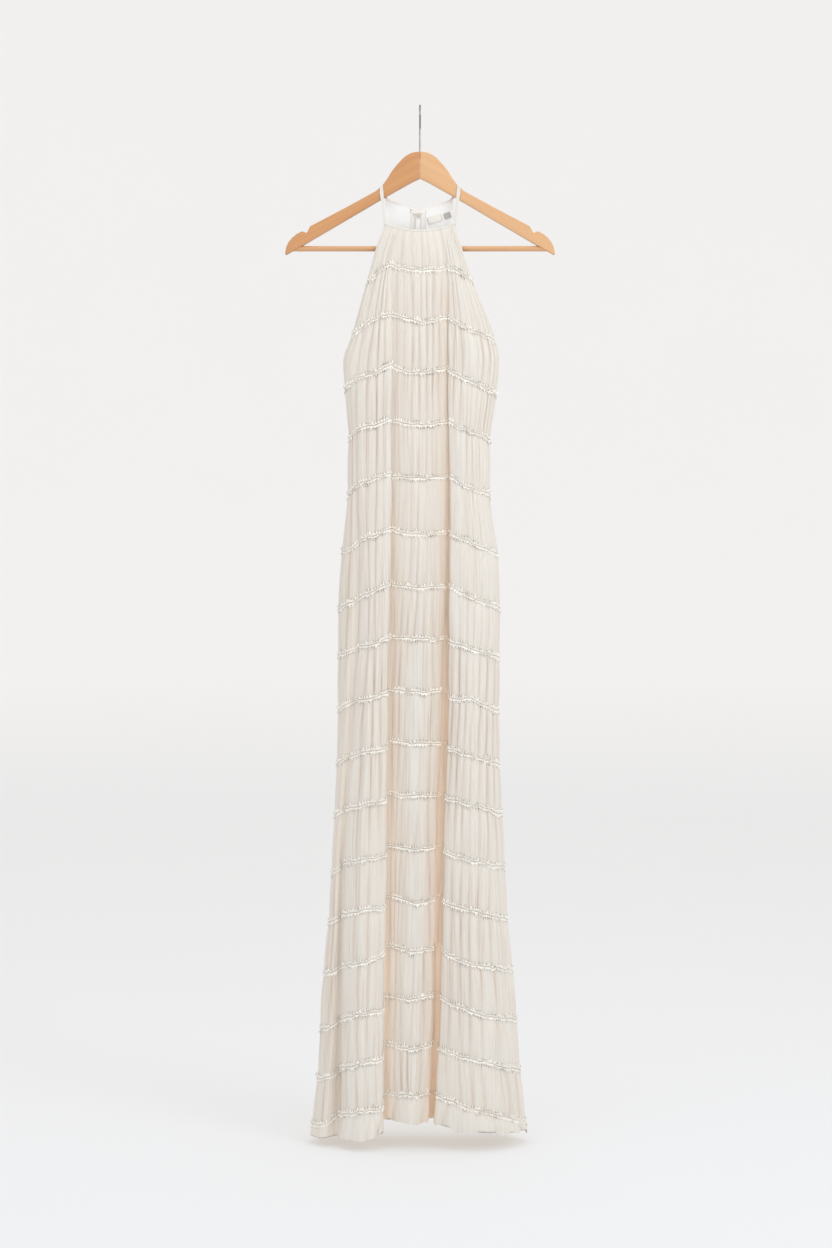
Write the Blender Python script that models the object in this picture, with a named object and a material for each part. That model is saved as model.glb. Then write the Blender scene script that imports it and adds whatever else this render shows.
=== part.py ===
"""Halter-neck evening dress of gathered sheer cloth, hung on a wooden hanger.

Sizes are in millimetres and are turned into metres where a mesh is made.
The origin is where the hook rests on a rail, +Z is up and the front faces -Y.
"""
import math

import bmesh
import bpy
from mathutils import Vector

MM = 0.001

# Cloth and sewing sizes
WALL = 1.8
SEAM_GAP = 0.3
PIECE_GAP = 0.3
BULGE = 2.0
GATHER = 2.6
MITRE_LIMIT = 1.8
INSET_LIMIT = 0.8
FOLD_LEAN = 0.16
CENTRE_BACK_X = -3.0

# Ruffled trims: two frayed edges drawn up to a ridge
TRIM_HALF_HEIGHT = 5.0
TRIM_SEAT = 0.7
TRIM_SEAT_RISE = 3.6
TRIM_REACH_MIN = 0.9
TRIM_REACH_MAX = 3.6
TRIM_WAVES = 9
TRIM_WAVE_HEIGHT = 1.6

# Bindings, straps and what shows inside the back neck
BINDING_HEIGHT = 3.3
BINDING_THICK = 2.8
BINDING_SEAT = 0.7
EDGE_BINDING_WIDTH = 1.8
EDGE_BINDING_THICK = 0.8
EDGE_BINDING_SEAT = 1.3
STRAP_TOP_WIDTH = 6.6
STRAP_END_WIDTH = 4.4
STRAP_THICK = 1.0
STRAP_X = 63.6
STRAP_INSET = 1.6
STRAP_SEAT_Y = 0.6
STRAP_SWAY = 1.2
STRAP_LEAVES = 11.0
STRAP_BEND = 2.2
STRAP_CORNER = 0.6
STRAP_SHOULDER = 2.4
FACING_THICK = 1.0
FACING_SEATS = (0.3, 1.0, 2.2)
FACING_BOTTOM_Z = -240.0
TAPE_WIDTH = 12.7
TAPE_THICK = 0.8
TAPE_SPARE = 4.0
TAPE_TOP_DROP = 0.4
LABEL_THICK = 0.7
LABEL_SPAN = (0.0, 60.0)
FASTENER_SPAN = (-20.0, 14.0)
FASTENER_WIRE = 0.6
FASTENER_DROP = 5.2
EYE_X, EYE_RADIUS = -7.6, 2.6
CATCH_X, CATCH_RADIUS, CATCH_END_X = -1.9, 1.5, 1.6

# Hanger
ARM_THICK = 12.0
ARM_EDGE = 1.6
HALF_GAP = 0.15
BAR_RADIUS = 4.5
BAR_Z = -234.3
BAR_HALF_LENGTH = 209.0
WIRE_RADIUS = 1.5
RAIL_RADIUS = 14.0
HOOK_BEND_RADIUS = 10.0
HOOK_TIP_ANGLE = -35.0
STEM_DEPTH = 12.0
HOLE_CLEARANCE = 0.3
BAR_SOCKET_X = 150.0
CUTTER_SPARE = 5.0
HOLE_SIDES, BAR_SIDES, WIRE_SIDES, FASTENER_SIDES = 24, 16, 8, 6

# Half-outline of the hanger's wood, from the crown to the tip and back along the underside
HANGER_OUTLINE = [
    # x, z
    (0.0, -75.0), (10.5, -76.2), (19.0, -79.6), (26.7, -84.9), (36.6, -95.2), (45.8, -106.6),
    (53.4, -118.6), (60.6, -128.9), (67.0, -135.2), (74.0, -140.7), (121.0, -166.5), (181.2, -198.2),
    (183.5, -203.4), (187.0, -208.9), (190.8, -207.4), (194.5, -206.1), (203.5, -210.9), (211.0, -217.2),
    (217.0, -224.6), (220.5, -233.0), (222.2, -243.0), (220.6, -244.9), (208.8, -237.9), (194.0, -229.9),
    (121.0, -187.2), (60.6, -151.6), (14.0, -125.4), (0.0, -118.8),
]

# Outline of the dress seen from the front
SIDES = [
    # z, left x, right x
    (-152.0, -57.0, 54.0), (-196.0, -58.3, 58.2), (-230.0, -70.4, 67.1), (-296.0, -89.0, 89.8),
    (-385.0, -114.5, 123.6), (-419.0, -126.6, 130.4), (-469.0, -123.9, 126.9), (-558.0, -117.0, 115.4),
    (-651.0, -120.0, 116.8), (-740.0, -129.5, 128.5), (-830.0, -134.8, 131.8), (-1003.0, -135.1, 129.5),
    (-1175.0, -141.4, 135.8), (-1262.0, -145.8, 140.6), (-1347.0, -150.6, 145.0), (-1431.0, -158.5, 153.3),
    (-1515.0, -164.1, 159.9), (-1600.0, -168.8, 166.3), (-1672.0, -178.0, 174.2), (-1700.0, -182.0, 178.2),
]

# Half the width of the open armhole, front to back; the seam closes it at the underarm
ARMHOLE = [
    # z, front edge to middle plane, back edge to middle plane, back edge set in
    (-152.0, 11.5, 9.6, 0.0), (-196.0, 11.5, 9.6, 1.6), (-230.0, 11.0, 9.4, 1.8), (-296.0, 9.0, 8.0, 1.6),
    (-385.0, 4.0, 4.0, 1.2), (-419.0, 0.15, 0.15, 0.0), (-1700.0, 0.15, 0.15, 0.0),
]

# Largest folds of the front: where each lies, how far it goes in and how far the cloth is drawn into boxes
FRONT = [
    # z, depth of the lobes, flank fold x, in, left fold x, in, right fold x, in, boxed
    (-196.0, 13.0, -46.0, 1.0, -32.0, 0.6, 34.0, 0.6, 0.0),
    (-230.0, 17.0, -57.0, 3.0, -40.0, 1.5, 42.0, 1.5, 0.0),
    (-296.0, 22.0, -76.0, 7.0, -49.0, 4.0, 50.5, 3.0, 0.0),
    (-385.0, 28.0, -96.0, 10.0, -49.0, 4.0, 51.5, 4.5, 0.0),
    (-419.0, 30.0, -103.0, 11.0, -48.5, 4.5, 51.5, 5.0, 0.0),
    (-469.0, 32.0, -106.0, 12.0, -50.0, 5.0, 50.5, 5.5, 0.0),
    (-558.0, 35.0, -105.0, 13.0, -50.5, 6.0, 50.0, 7.0, 0.1),
    (-651.0, 38.0, -104.0, 14.0, -51.0, 7.5, 49.5, 9.0, 0.2),
    (-740.0, 44.0, -101.0, 15.0, -52.0, 9.5, 48.5, 12.0, 0.3),
    (-830.0, 50.0, -100.0, 17.0, -53.5, 12.0, 47.5, 16.0, 0.45),
    (-1003.0, 56.0, -111.0, 22.0, -56.0, 16.0, 48.5, 23.0, 0.7),
    (-1262.0, 63.0, -127.0, 30.0, -59.0, 20.0, 41.0, 30.0, 0.9),
    (-1431.0, 69.0, -130.0, 36.0, -62.0, 24.0, 38.5, 36.0, 1.0),
    (-1600.0, 74.0, -132.0, 41.0, -64.0, 27.0, 32.0, 42.0, 1.0),
    (-1700.0, 78.0, -136.0, 44.0, -64.0, 30.0, 25.5, 46.0, 1.0),
]

# Largest folds of the back, seen from the front's side
BACK = [
    # z, depth of the lobes, right fold x, in, left fold x, in, boxed
    (-152.0, 10.0, 30.0, 0.0, -31.0, 0.0, 0.0),
    (-196.0, 10.0, 31.0, 0.0, -33.0, 0.0, 0.0),
    (-230.0, 11.0, 33.0, 0.4, -36.0, 0.4, 0.0),
    (-296.0, 17.0, 37.0, 2.5, -41.0, 3.0, 0.0),
    (-385.0, 23.0, 42.0, 4.0, -47.0, 4.5, 0.0),
    (-419.0, 26.0, 45.0, 5.0, -50.0, 5.5, 0.0),
    (-469.0, 29.0, 46.0, 6.0, -51.0, 7.0, 0.0),
    (-558.0, 32.0, 45.0, 8.0, -50.0, 8.0, 0.1),
    (-651.0, 35.0, 45.0, 11.0, -50.0, 10.0, 0.2),
    (-740.0, 41.0, 46.0, 15.0, -53.0, 14.0, 0.3),
    (-830.0, 47.0, 49.0, 20.0, -56.0, 18.0, 0.45),
    (-1003.0, 52.0, 54.0, 28.0, -60.0, 26.0, 0.7),
    (-1262.0, 58.0, 62.0, 36.0, -64.0, 33.0, 0.9),
    (-1431.0, 63.0, 68.0, 42.0, -70.0, 39.0, 1.0),
    (-1600.0, 68.0, 74.0, 47.0, -76.0, 43.0, 1.0),
    (-1700.0, 71.0, 78.0, 50.0, -80.0, 46.0, 1.0),
]

# Levels that run round the dress: where each sits at the middle and how far it hangs lower elsewhere
LEVELS = [
    # name, kind, z at the middle, left side, left crest, left edge, right edge, right crest, right side, dip
    ("row_01", "trim", -271.5, 24.0, -8.0, -8.0, -2.5, 4.0, 19.0, 5.0),
    ("row_02", "trim", -356.5, 24.0, -5.0, -9.0, -3.5, 12.0, 33.0, 9.5),
    ("underarm", "plain", -398.0, 21.0, -1.0, -11.0, -1.5, 13.0, 21.0, 10.0),
    ("row_03", "trim", -440.5, 26.5, 3.0, -13.0, 0.0, 14.5, 36.5, 10.5),
    ("row_04", "trim", -527.0, 22.0, 0.5, -9.5, -2.5, 9.0, 24.0, 6.5),
    ("row_05", "trim", -614.5, 28.5, 0.0, -9.0, 0.0, 13.0, 27.5, 5.0),
    ("row_06", "trim", -704.5, 31.5, 5.0, -5.0, 0.0, 16.5, 33.0, 5.0),
    ("row_07", "trim", -791.5, 35.5, 7.5, -2.5, 0.0, 18.0, 37.0, 4.0),
    ("row_08", "trim", -876.5, 30.0, 10.5, 1.0, 6.5, 18.0, 30.0, 3.0),
    ("row_09", "trim", -962.5, 31.0, 11.5, 5.0, 8.0, 14.5, 32.5, 5.0),
    ("row_10", "trim", -1048.0, 35.5, 11.0, 4.5, 8.0, 17.5, 35.5, 6.5),
    ("row_11", "trim", -1132.5, 36.5, 12.5, 8.0, 5.0, 14.0, 33.0, 6.5),
    ("row_12", "trim", -1220.0, 46.0, 12.5, 10.0, 2.0, 17.0, 32.5, 9.5),
    ("row_13", "trim", -1304.5, 40.5, 13.5, 9.0, 0.5, 15.0, 35.5, 13.0),
    ("row_14", "trim", -1384.0, 43.5, 16.5, 7.0, 2.0, 19.5, 38.5, 13.0),
    ("row_15", "trim", -1462.5, 58.0, 22.5, 16.0, -0.5, 19.5, 42.5, 13.0),
    ("row_16", "trim", -1541.0, 59.5, 24.0, 16.5, 0.5, 17.5, 46.5, 9.5),
    ("row_17", "trim", -1619.0, 58.0, 22.0, 20.5, 1.5, 18.0, 52.0, 8.0),
    ("hem", "plain", -1664.0, 31.0, 22.5, 17.5, 2.5, 11.5, 22.5, 6.0),
]
SEAM_LEVEL = "underarm"
OPEN_ROWS = ("row_01", "row_02")
ZIPPED_ROWS = ("row_03", "row_04", "row_05", "row_06")
ZIP_END_LEVEL = "row_06"

# The columns of the front between its stations, and how much each station shows, puffs and hangs lower
FRONT_STATIONS = [
    # name, columns, puff, left side, left crest, left edge, right edge, right crest, right side, dip
    ("side_left", 1, 0.5, 1.0, 0.0, 0.0, 0.0, 0.0, 0.0, 0.0),
    ("flank", 1, 0.8, 0.75, 0.25, 0.0, 0.0, 0.0, 0.0, 0.0),
    ("flank_fold", 1, 0.3, 0.4, 0.6, 0.0, 0.0, 0.0, 0.0, 0.0),
    ("left_outer", 1, 0.7, 0.25, 0.75, 0.0, 0.0, 0.0, 0.0, 0.0),
    ("left_crest", 2, 1.0, 0.0, 1.0, 0.0, 0.0, 0.0, 0.0, 0.0),
    ("left_edge", 2, 0.7, 0.0, 0.0, 1.0, 0.0, 0.0, 0.0, 0.0),
    ("left_fold", 2, 0.0, 0.0, 0.0, 0.25, 0.0, 0.0, 0.0, 0.75),
    ("middle_left", 2, 0.6, 0.0, 0.0, 0.0, 0.0, 0.0, 0.0, 0.7),
    ("middle_crest", 2, 1.0, 0.0, 0.0, 0.0, 0.0, 0.0, 0.0, 0.0),
    ("middle_right", 2, 0.7, 0.0, 0.0, 0.0, 0.0, 0.0, 0.0, 0.7),
    ("right_fold", 2, 0.0, 0.0, 0.0, 0.0, 0.25, 0.0, 0.0, 0.75),
    ("right_edge", 2, 0.6, 0.0, 0.0, 0.0, 1.0, 0.0, 0.0, 0.0),
    ("right_crest", 2, 1.0, 0.0, 0.0, 0.0, 0.0, 1.0, 0.0, 0.0),
    ("right_outer", 1, 0.9, 0.0, 0.0, 0.0, 0.0, 0.4, 0.6, 0.0),
    ("side_right", 0, 0.5, 0.0, 0.0, 0.0, 0.0, 0.0, 1.0, 0.0),
]
BACK_STATIONS = [
    # name, columns, puff, left side, left crest, left edge, right edge, right crest, right side, dip
    ("side_right", 1, 0.5, 0.0, 0.0, 0.0, 0.0, 0.0, 1.0, 0.0),
    ("right_outer", 1, 0.9, 0.0, 0.0, 0.0, 0.0, 0.4, 0.6, 0.0),
    ("right_crest", 2, 1.0, 0.0, 0.0, 0.0, 0.0, 1.0, 0.0, 0.0),
    ("right_edge", 1, 0.6, 0.0, 0.0, 0.0, 1.0, 0.0, 0.0, 0.0),
    ("right_fold", 1, 0.0, 0.0, 0.0, 0.0, 0.25, 0.0, 0.0, 0.75),
    ("middle_right", 2, 0.6, 0.0, 0.0, 0.0, 0.0, 0.0, 0.0, 0.6),
    ("centre_back", 2, 0.3, 0.0, 0.0, 0.0, 0.0, 0.0, 0.0, 0.0),
    ("middle_left", 1, 0.6, 0.0, 0.0, 0.0, 0.0, 0.0, 0.0, 0.6),
    ("left_fold", 1, 0.0, 0.0, 0.0, 0.25, 0.0, 0.0, 0.0, 0.75),
    ("left_edge", 2, 0.6, 0.0, 0.0, 1.0, 0.0, 0.0, 0.0, 0.0),
    ("left_crest", 1, 1.0, 0.0, 1.0, 0.0, 0.0, 0.0, 0.0, 0.0),
    ("left_outer", 1, 0.9, 0.6, 0.4, 0.0, 0.0, 0.0, 0.0, 0.0),
    ("side_left", 0, 0.5, 1.0, 0.0, 0.0, 0.0, 0.0, 0.0, 0.0),
]

# Necklines: a shallow curve in front, a V behind, and the height where the back's yoke turns out
FRONT_NECK_MIDDLE_Z = -208.6
FRONT_NECK_CORNER_Z = -196.0
FRONT_NECK_POWER = 2.0
BACK_NECK_MIDDLE_Z = -173.0
BACK_NECK_CORNER_Z = -152.4
BACK_NECK_POWER = 1.15
BACK_YOKE_Z = -214.0

# Labels inside the back neck
LABELS = [
    # name, middle x, middle z, width, height, tilt in degrees
    ("neck_label", 24.2, -184.2, 23.4, 11.6, 17.0),
    ("size_tab", 45.2, -178.6, 11.2, 9.6, 20.0),
]

# Colours, roughness and metallic value of each material
MATERIALS = {
    "chiffon": ((0.80, 0.74, 0.66, 1.0), 0.85, 0.0),
    "ruffle": ((0.84, 0.79, 0.72, 1.0), 0.9, 0.0),
    "lining": ((0.86, 0.86, 0.84, 1.0), 0.8, 0.0),
    "zip_tape": ((0.76, 0.74, 0.68, 1.0), 0.8, 0.0),
    "label_white": ((0.85, 0.85, 0.84, 1.0), 0.7, 0.0),
    "label_grey": ((0.46, 0.44, 0.42, 1.0), 0.7, 0.0),
    "brass_wire": ((0.55, 0.47, 0.33, 1.0), 0.35, 1.0),
    "wood": ((0.62, 0.33, 0.14, 1.0), 0.45, 0.0),
    "steel": ((0.62, 0.62, 0.62, 1.0), 0.25, 1.0),
}


def clear_scene():
    """Remove whatever the file held."""
    for old in list(bpy.data.objects):
        bpy.data.objects.remove(old, do_unlink=True)


def mix(a, b, share):
    """The value that lies the given share of the way from a to b."""
    return a + (b - a) * share


def hermite(p0, p1, p2, p3, share):
    """Smooth curve through p1 and p2, with its slopes from the points beyond."""
    m1 = (p2 - p0) * 0.5
    m2 = (p3 - p1) * 0.5
    t2 = share * share
    t3 = t2 * share
    return (p1 * (2 * t3 - 3 * t2 + 1) + m1 * (t3 - 2 * t2 + share)
            + p2 * (3 * t2 - 2 * t3) + m2 * (t3 - t2))


def look_up(table, z):
    """The named columns of a table at height z, worked out between its rows."""
    if z >= table[0][0]:
        return table[0][1:]
    for upper, lower in zip(table, table[1:]):
        if z >= lower[0]:
            share = (z - upper[0]) / (lower[0] - upper[0])
            return tuple(mix(a, b, share) for a, b in zip(upper[1:], lower[1:]))
    return table[-1][1:]


def front_points(z):
    """The front's stations at height z, left to right."""
    left, right = look_up(SIDES, z)
    side_y = -look_up(ARMHOLE, z)[0]
    depth, flank_x, flank_in, left_x, left_in, right_x, right_in, boxed = look_up(FRONT, z)

    def out(loose, drawn):
        return mix(side_y, -depth, mix(loose, drawn, boxed))

    middle = right_x - left_x
    return [
        Vector((left, side_y)),
        Vector((mix(left, flank_x, 0.45), out(0.45, 0.52))),
        Vector((flank_x, -depth + flank_in)),
        Vector((mix(flank_x, left_x, 0.15), out(0.76, 0.75))),
        Vector((mix(flank_x, left_x, 0.55), out(0.93, 1.0))),
        Vector((left_x, out(0.98, 0.86))),
        Vector((left_x - FOLD_LEAN * left_in, -depth + left_in)),
        Vector((left_x + 0.2 * middle, out(0.97, 0.68))),
        Vector((left_x + 0.52 * middle, out(1.0, 0.85))),
        Vector((right_x - 0.2 * middle, out(0.97, 0.72))),
        Vector((right_x + FOLD_LEAN * right_in, -depth + right_in)),
        Vector((right_x, out(0.97, 0.84))),
        Vector((mix(right_x, right, 0.42), out(0.9, 1.0))),
        Vector((mix(right_x, right, 0.8), out(0.58, 0.62))),
        Vector((right, side_y)),
    ]


def back_points(z):
    """The back's stations at height z, right to left as seen from the front."""
    left, right = look_up(SIDES, z)
    side_y, inset = look_up(ARMHOLE, z)[1:]
    left += inset
    right -= inset
    depth, right_x, right_in, left_x, left_in, boxed = look_up(BACK, z)

    def out(loose, drawn):
        return mix(side_y, depth, mix(loose, drawn, boxed))

    return [
        Vector((right, side_y)),
        Vector((mix(right, right_x, 0.28), out(0.6, 0.7))),
        Vector((mix(right, right_x, 0.6), out(0.86, 1.0))),
        Vector((right_x, out(0.97, 0.84))),
        Vector((right_x + FOLD_LEAN * right_in, depth - right_in)),
        Vector((mix(right_x, CENTRE_BACK_X, 0.42), out(0.98, 0.74))),
        Vector((CENTRE_BACK_X, out(1.0, 0.8))),
        Vector((mix(left_x, CENTRE_BACK_X, 0.42), out(0.98, 0.74))),
        Vector((left_x - FOLD_LEAN * left_in, depth - left_in)),
        Vector((left_x, out(0.97, 0.84))),
        Vector((mix(left, left_x, 0.6), out(0.86, 1.0))),
        Vector((mix(left, left_x, 0.28), out(0.6, 0.7))),
        Vector((left, side_y)),
    ]


def spread(stations, values):
    """One value for each column, worked out between the stations' values."""
    result = []
    for index, station in enumerate(stations[:-1]):
        columns = station[1]
        for step in range(columns):
            result.append(mix(values[index], values[index + 1], step / columns))
    result.append(values[-1])
    return result


def section(stations, points):
    """One point for each column, on a smooth curve through the stations."""
    last = len(points) - 1
    result = []
    for index in range(last):
        columns = stations[index][1]
        before = points[max(index - 1, 0)]
        after = points[min(index + 2, last)]
        for step in range(columns):
            result.append(hermite(before, points[index], points[index + 1], after, step / columns))
    result.append(points[-1].copy())
    return result


def column_normals(row, ends):
    """Unit outward directions in plan, lengthened where the section turns sharply."""
    sides = []
    for a, b in zip(row, row[1:]):
        along = Vector((b.x - a.x, b.y - a.y)).normalized()
        sides.append(Vector((along.y, -along.x)))
    normals = [ends[0] if ends[0] else sides[0]]
    for a, b in zip(sides, sides[1:]):
        both = (a + b).normalized()
        stretch = 1.0 / max(both.dot(a), 1.0 / MITRE_LIMIT)
        normals.append(both * stretch)
    normals.append(ends[1] if ends[1] else sides[-1])
    return normals


def level_heights(stations, level):
    """Height of each column along one level."""
    middle_z = level[2]
    drops = level[3:9]
    dip = level[9]
    values = []
    for station in stations:
        drop = sum(weight * value for weight, value in zip(station[3:9], drops))
        values.append(middle_z - drop + station[9] * dip)
    return spread(stations, values)


def neck_heights(stations, points, middle_z, corner_z, power):
    """Height of each column along a neckline."""
    row = section(stations, points)
    half = max(abs(p.x) for p in row)
    return [mix(middle_z, corner_z, abs(p.x / half) ** power) for p in row]


def unevenness(level, column):
    """A steady value from 0.6 to 1.3 that makes neighbouring gathers differ."""
    wave = math.sin(level * 2.7 + column * 1.9) + math.sin(level * 1.3 - column * 3.1)
    return 0.95 + 0.17 * wave


class Panel:
    """Grids of points for one side of the dress, before it is cut into pieces."""

    def __init__(self, stations, shape, heights):
        self.stations = stations
        self.names = [name for name, row in heights]
        self.base = []
        self.normals = []
        puff = spread(stations, [s[2] for s in stations])
        closed = [Vector((-1.0, 0.0)), Vector((1.0, 0.0))]
        if stations is BACK_STATIONS:
            closed.reverse()
        for index, (name, row) in enumerate(heights):
            plan = {}
            points = []
            for column, z in enumerate(row):
                if z not in plan:
                    plan[z] = section(stations, shape(z))
                flat = plan[z][column]
                points.append(Vector((flat.x, flat.y, z)))
            self.base.append(points)
            ends = closed if index >= self.names.index(SEAM_LEVEL) else (None, None)
            self.normals.append(column_normals(points, ends))
        self.outer = []
        self.inner = []
        for index, points in enumerate(self.base):
            self.outer.append(self.row_points(index, puff))
            self.inner.append([p - self.out(index, c) * WALL for c, p in enumerate(points)])
            if index + 1 < len(self.base):
                self.outer.append(self.tier_points(index, puff))

    def out(self, index, column):
        """Outward direction of one column at one level."""
        flat = self.normals[index][column]
        return Vector((flat.x, flat.y, 0.0))

    def row_points(self, index, puff):
        """The gathers are drawn flat where a row is sewn, and stand free at the hem."""
        points = self.base[index]
        free = GATHER if index == len(self.base) - 1 else 0.0
        row = []
        for column in range(len(points) - 1):
            here, after = points[column], points[column + 1]
            row.append(here.copy())
            lift = (puff[column] + puff[column + 1]) * 0.5 * free * unevenness(index, column)
            normal = (self.out(index, column) + self.out(index, column + 1)).normalized()
            row.append((here + after) * 0.5 + normal * lift)
        row.append(points[-1].copy())
        return row

    def tier_points(self, index, puff):
        """Half way down a tier the cloth puffs out, and every other column is a gather."""
        above, below = self.base[index], self.base[index + 1]
        middle = [(a + b) * 0.5 for a, b in zip(above, below)]
        normal = [(self.out(index, c) + self.out(index + 1, c)).normalized() for c in range(len(above))]
        row = []
        for column in range(len(middle) - 1):
            row.append(middle[column] + normal[column] * BULGE * puff[column])
            share = (puff[column] + puff[column + 1]) * 0.5
            lift = share * (BULGE + GATHER * unevenness(index, column))
            direction = (normal[column] + normal[column + 1]).normalized()
            row.append((middle[column] + middle[column + 1]) * 0.5 + direction * lift)
        row.append(middle[-1] + normal[-1] * BULGE * puff[-1])
        return row

    def level(self, name):
        """Place of a named level among the inner rows."""
        return self.names.index(name)


def new_object(name, bm, material, smooth_angle=35.0):
    """Turn a bmesh in millimetres into a named object in metres."""
    bmesh.ops.recalc_face_normals(bm, faces=bm.faces[:])
    bmesh.ops.scale(bm, vec=Vector((MM, MM, MM)), verts=bm.verts[:])
    mesh = bpy.data.meshes.new(name)
    bm.to_mesh(mesh)
    bm.free()
    mesh.shade_smooth()
    mesh.set_sharp_from_angle(angle=math.radians(smooth_angle))
    obj = bpy.data.objects.new(name, mesh)
    obj.data.materials.append(material)
    bpy.context.scene.collection.objects.link(obj)
    return obj


def make_materials():
    """One Principled material for each finish."""
    made = {}
    for name, (colour, roughness, metallic) in MATERIALS.items():
        material = bpy.data.materials.new(name)
        material.use_nodes = True
        shader = material.node_tree.nodes["Principled BSDF"]
        shader.inputs["Base Color"].default_value = colour
        shader.inputs["Roughness"].default_value = roughness
        shader.inputs["Metallic"].default_value = metallic
        made[name] = material
    return made


def add_grid(bm, rows):
    """Vertices and faces of one skin, from rows of points."""
    grid = [[bm.verts.new(p) for p in row] for row in rows]
    for upper, lower in zip(grid, grid[1:]):
        for c in range(len(upper) - 1):
            bm.faces.new((upper[c], lower[c], lower[c + 1], upper[c + 1]))
    return grid


def stitch(bm, coarse, fine):
    """Join two edges of which the second has a whole number of steps for each step of the first."""
    ratio = (len(fine) - 1) // (len(coarse) - 1)
    for index in range(len(coarse) - 1):
        first = index * ratio
        turn = first + ratio // 2
        for step in range(first, turn):
            bm.faces.new((coarse[index], fine[step], fine[step + 1]))
        bm.faces.new((coarse[index], fine[turn], coarse[index + 1]))
        for step in range(turn, first + ratio):
            bm.faces.new((coarse[index + 1], fine[step], fine[step + 1]))


def wall(name, fine_rows, coarse_rows, material):
    """A closed wall between an outer skin and a plainer skin behind it."""
    bm = bmesh.new()
    fine = add_grid(bm, fine_rows)
    coarse = add_grid(bm, coarse_rows)
    stitch(bm, coarse[0], fine[0])
    stitch(bm, coarse[-1], fine[-1])
    stitch(bm, [row[0] for row in coarse], [row[0] for row in fine])
    stitch(bm, [row[-1] for row in coarse], [row[-1] for row in fine])
    return new_object(name, bm, material)


def tube(name, rings, material, closed=False):
    """A closed body swept through rings of points that all have the same count."""
    bm = bmesh.new()
    made = [[bm.verts.new(p) for p in ring] for ring in rings]
    count = len(made[0])
    pairs = list(zip(made, made[1:]))
    if closed:
        pairs.append((made[-1], made[0]))
    for a, b in pairs:
        for k in range(count):
            after = (k + 1) % count
            bm.faces.new((a[k], a[after], b[after], b[k]))
    if not closed:
        bm.faces.new(made[0])
        bm.faces.new(made[-1])
    return new_object(name, bm, material)


def front_panel():
    """Grids of the front, from the neckline to the hem."""
    neck = neck_heights(FRONT_STATIONS, front_points(FRONT_NECK_CORNER_Z),
                        FRONT_NECK_MIDDLE_Z, FRONT_NECK_CORNER_Z, FRONT_NECK_POWER)
    heights = [("neck", neck)]
    heights += [(level[0], level_heights(FRONT_STATIONS, level)) for level in LEVELS]
    return Panel(FRONT_STATIONS, front_points, heights)


def back_panel():
    """Grids of the back, from the V neckline to the hem."""
    neck = neck_heights(BACK_STATIONS, back_points(BACK_NECK_CORNER_Z),
                        BACK_NECK_MIDDLE_Z, BACK_NECK_CORNER_Z, BACK_NECK_POWER)
    yoke = [BACK_YOKE_Z] * len(neck)
    heights = [("neck", neck), ("yoke", yoke)]
    heights += [(level[0], level_heights(BACK_STATIONS, level)) for level in LEVELS]
    return Panel(BACK_STATIONS, back_points, heights)


def back_column(name):
    """The back's column at a named station."""
    count = 0
    for station in BACK_STATIONS:
        if station[0] == name:
            break
        count += station[1]
    return count


def moved_x(rows, column, distance):
    """Copy the rows with one column moved sideways, to leave a seam's gap."""
    result = [list(row) for row in rows]
    for row in result:
        row[column] = row[column] + Vector((distance, 0.0, 0.0))
    return result


def build_panels(front, back, materials):
    """The front, and the back in two halves that meet at the zip."""
    cloth = materials["chiffon"]
    wall("front_panel", front.outer, front.inner, cloth)
    middle = back_column("centre_back")
    half = SEAM_GAP * 0.5
    outer = [row[:2 * middle + 1] for row in back.outer]
    inner = [row[:middle + 1] for row in back.inner]
    wall("back_right_panel", moved_x(outer, -1, half), moved_x(inner, -1, half), cloth)
    outer = [row[2 * middle:] for row in back.outer]
    inner = [row[middle:] for row in back.inner]
    wall("back_left_panel", moved_x(outer, 0, -half), moved_x(inner, 0, -half), cloth)


def trim_sections(panel, name):
    """One three-cornered ring of a trim for each column of a panel."""
    index = panel.level(name)
    puff = spread(panel.stations, [s[2] for s in panel.stations])
    rings = []
    for column, point in enumerate(panel.base[index]):
        out = panel.out(index, column)
        corners = []
        for step in (-1, 1):
            beyond = panel.outer[2 * index + step][2 * column]
            share = TRIM_HALF_HEIGHT / abs(beyond.z - point.z)
            seat = TRIM_SEAT + TRIM_SEAT_RISE * share * puff[column]
            corners.append(mix(point, beyond, share) + out * seat)
        reach = mix(TRIM_REACH_MIN, TRIM_REACH_MAX, puff[column])
        rings.append([corners[0], point + out * (TRIM_SEAT + reach), corners[1]])
    return rings


def add_waves(rings, start):
    """The ridge of a trim rises and falls along the row."""
    for column, ring in enumerate(rings):
        turn = (column / len(rings)) * TRIM_WAVES * math.tau + start
        ring[1].z += TRIM_WAVE_HEIGHT * math.sin(turn)
    return rings


def inset_ring(rings, from_end, distance):
    """Slide the last ring of one end towards its neighbour, to clear a binding or a seam."""
    end, beside = (0, 1) if from_end == 0 else (-1, -2)
    step = rings[beside][1] - rings[end][1]
    share = min(distance / Vector((step.x, step.y, 0.0)).length, INSET_LIMIT)
    rings[end] = [mix(a, b, share) for a, b in zip(rings[end], rings[beside])]
    return rings


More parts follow.
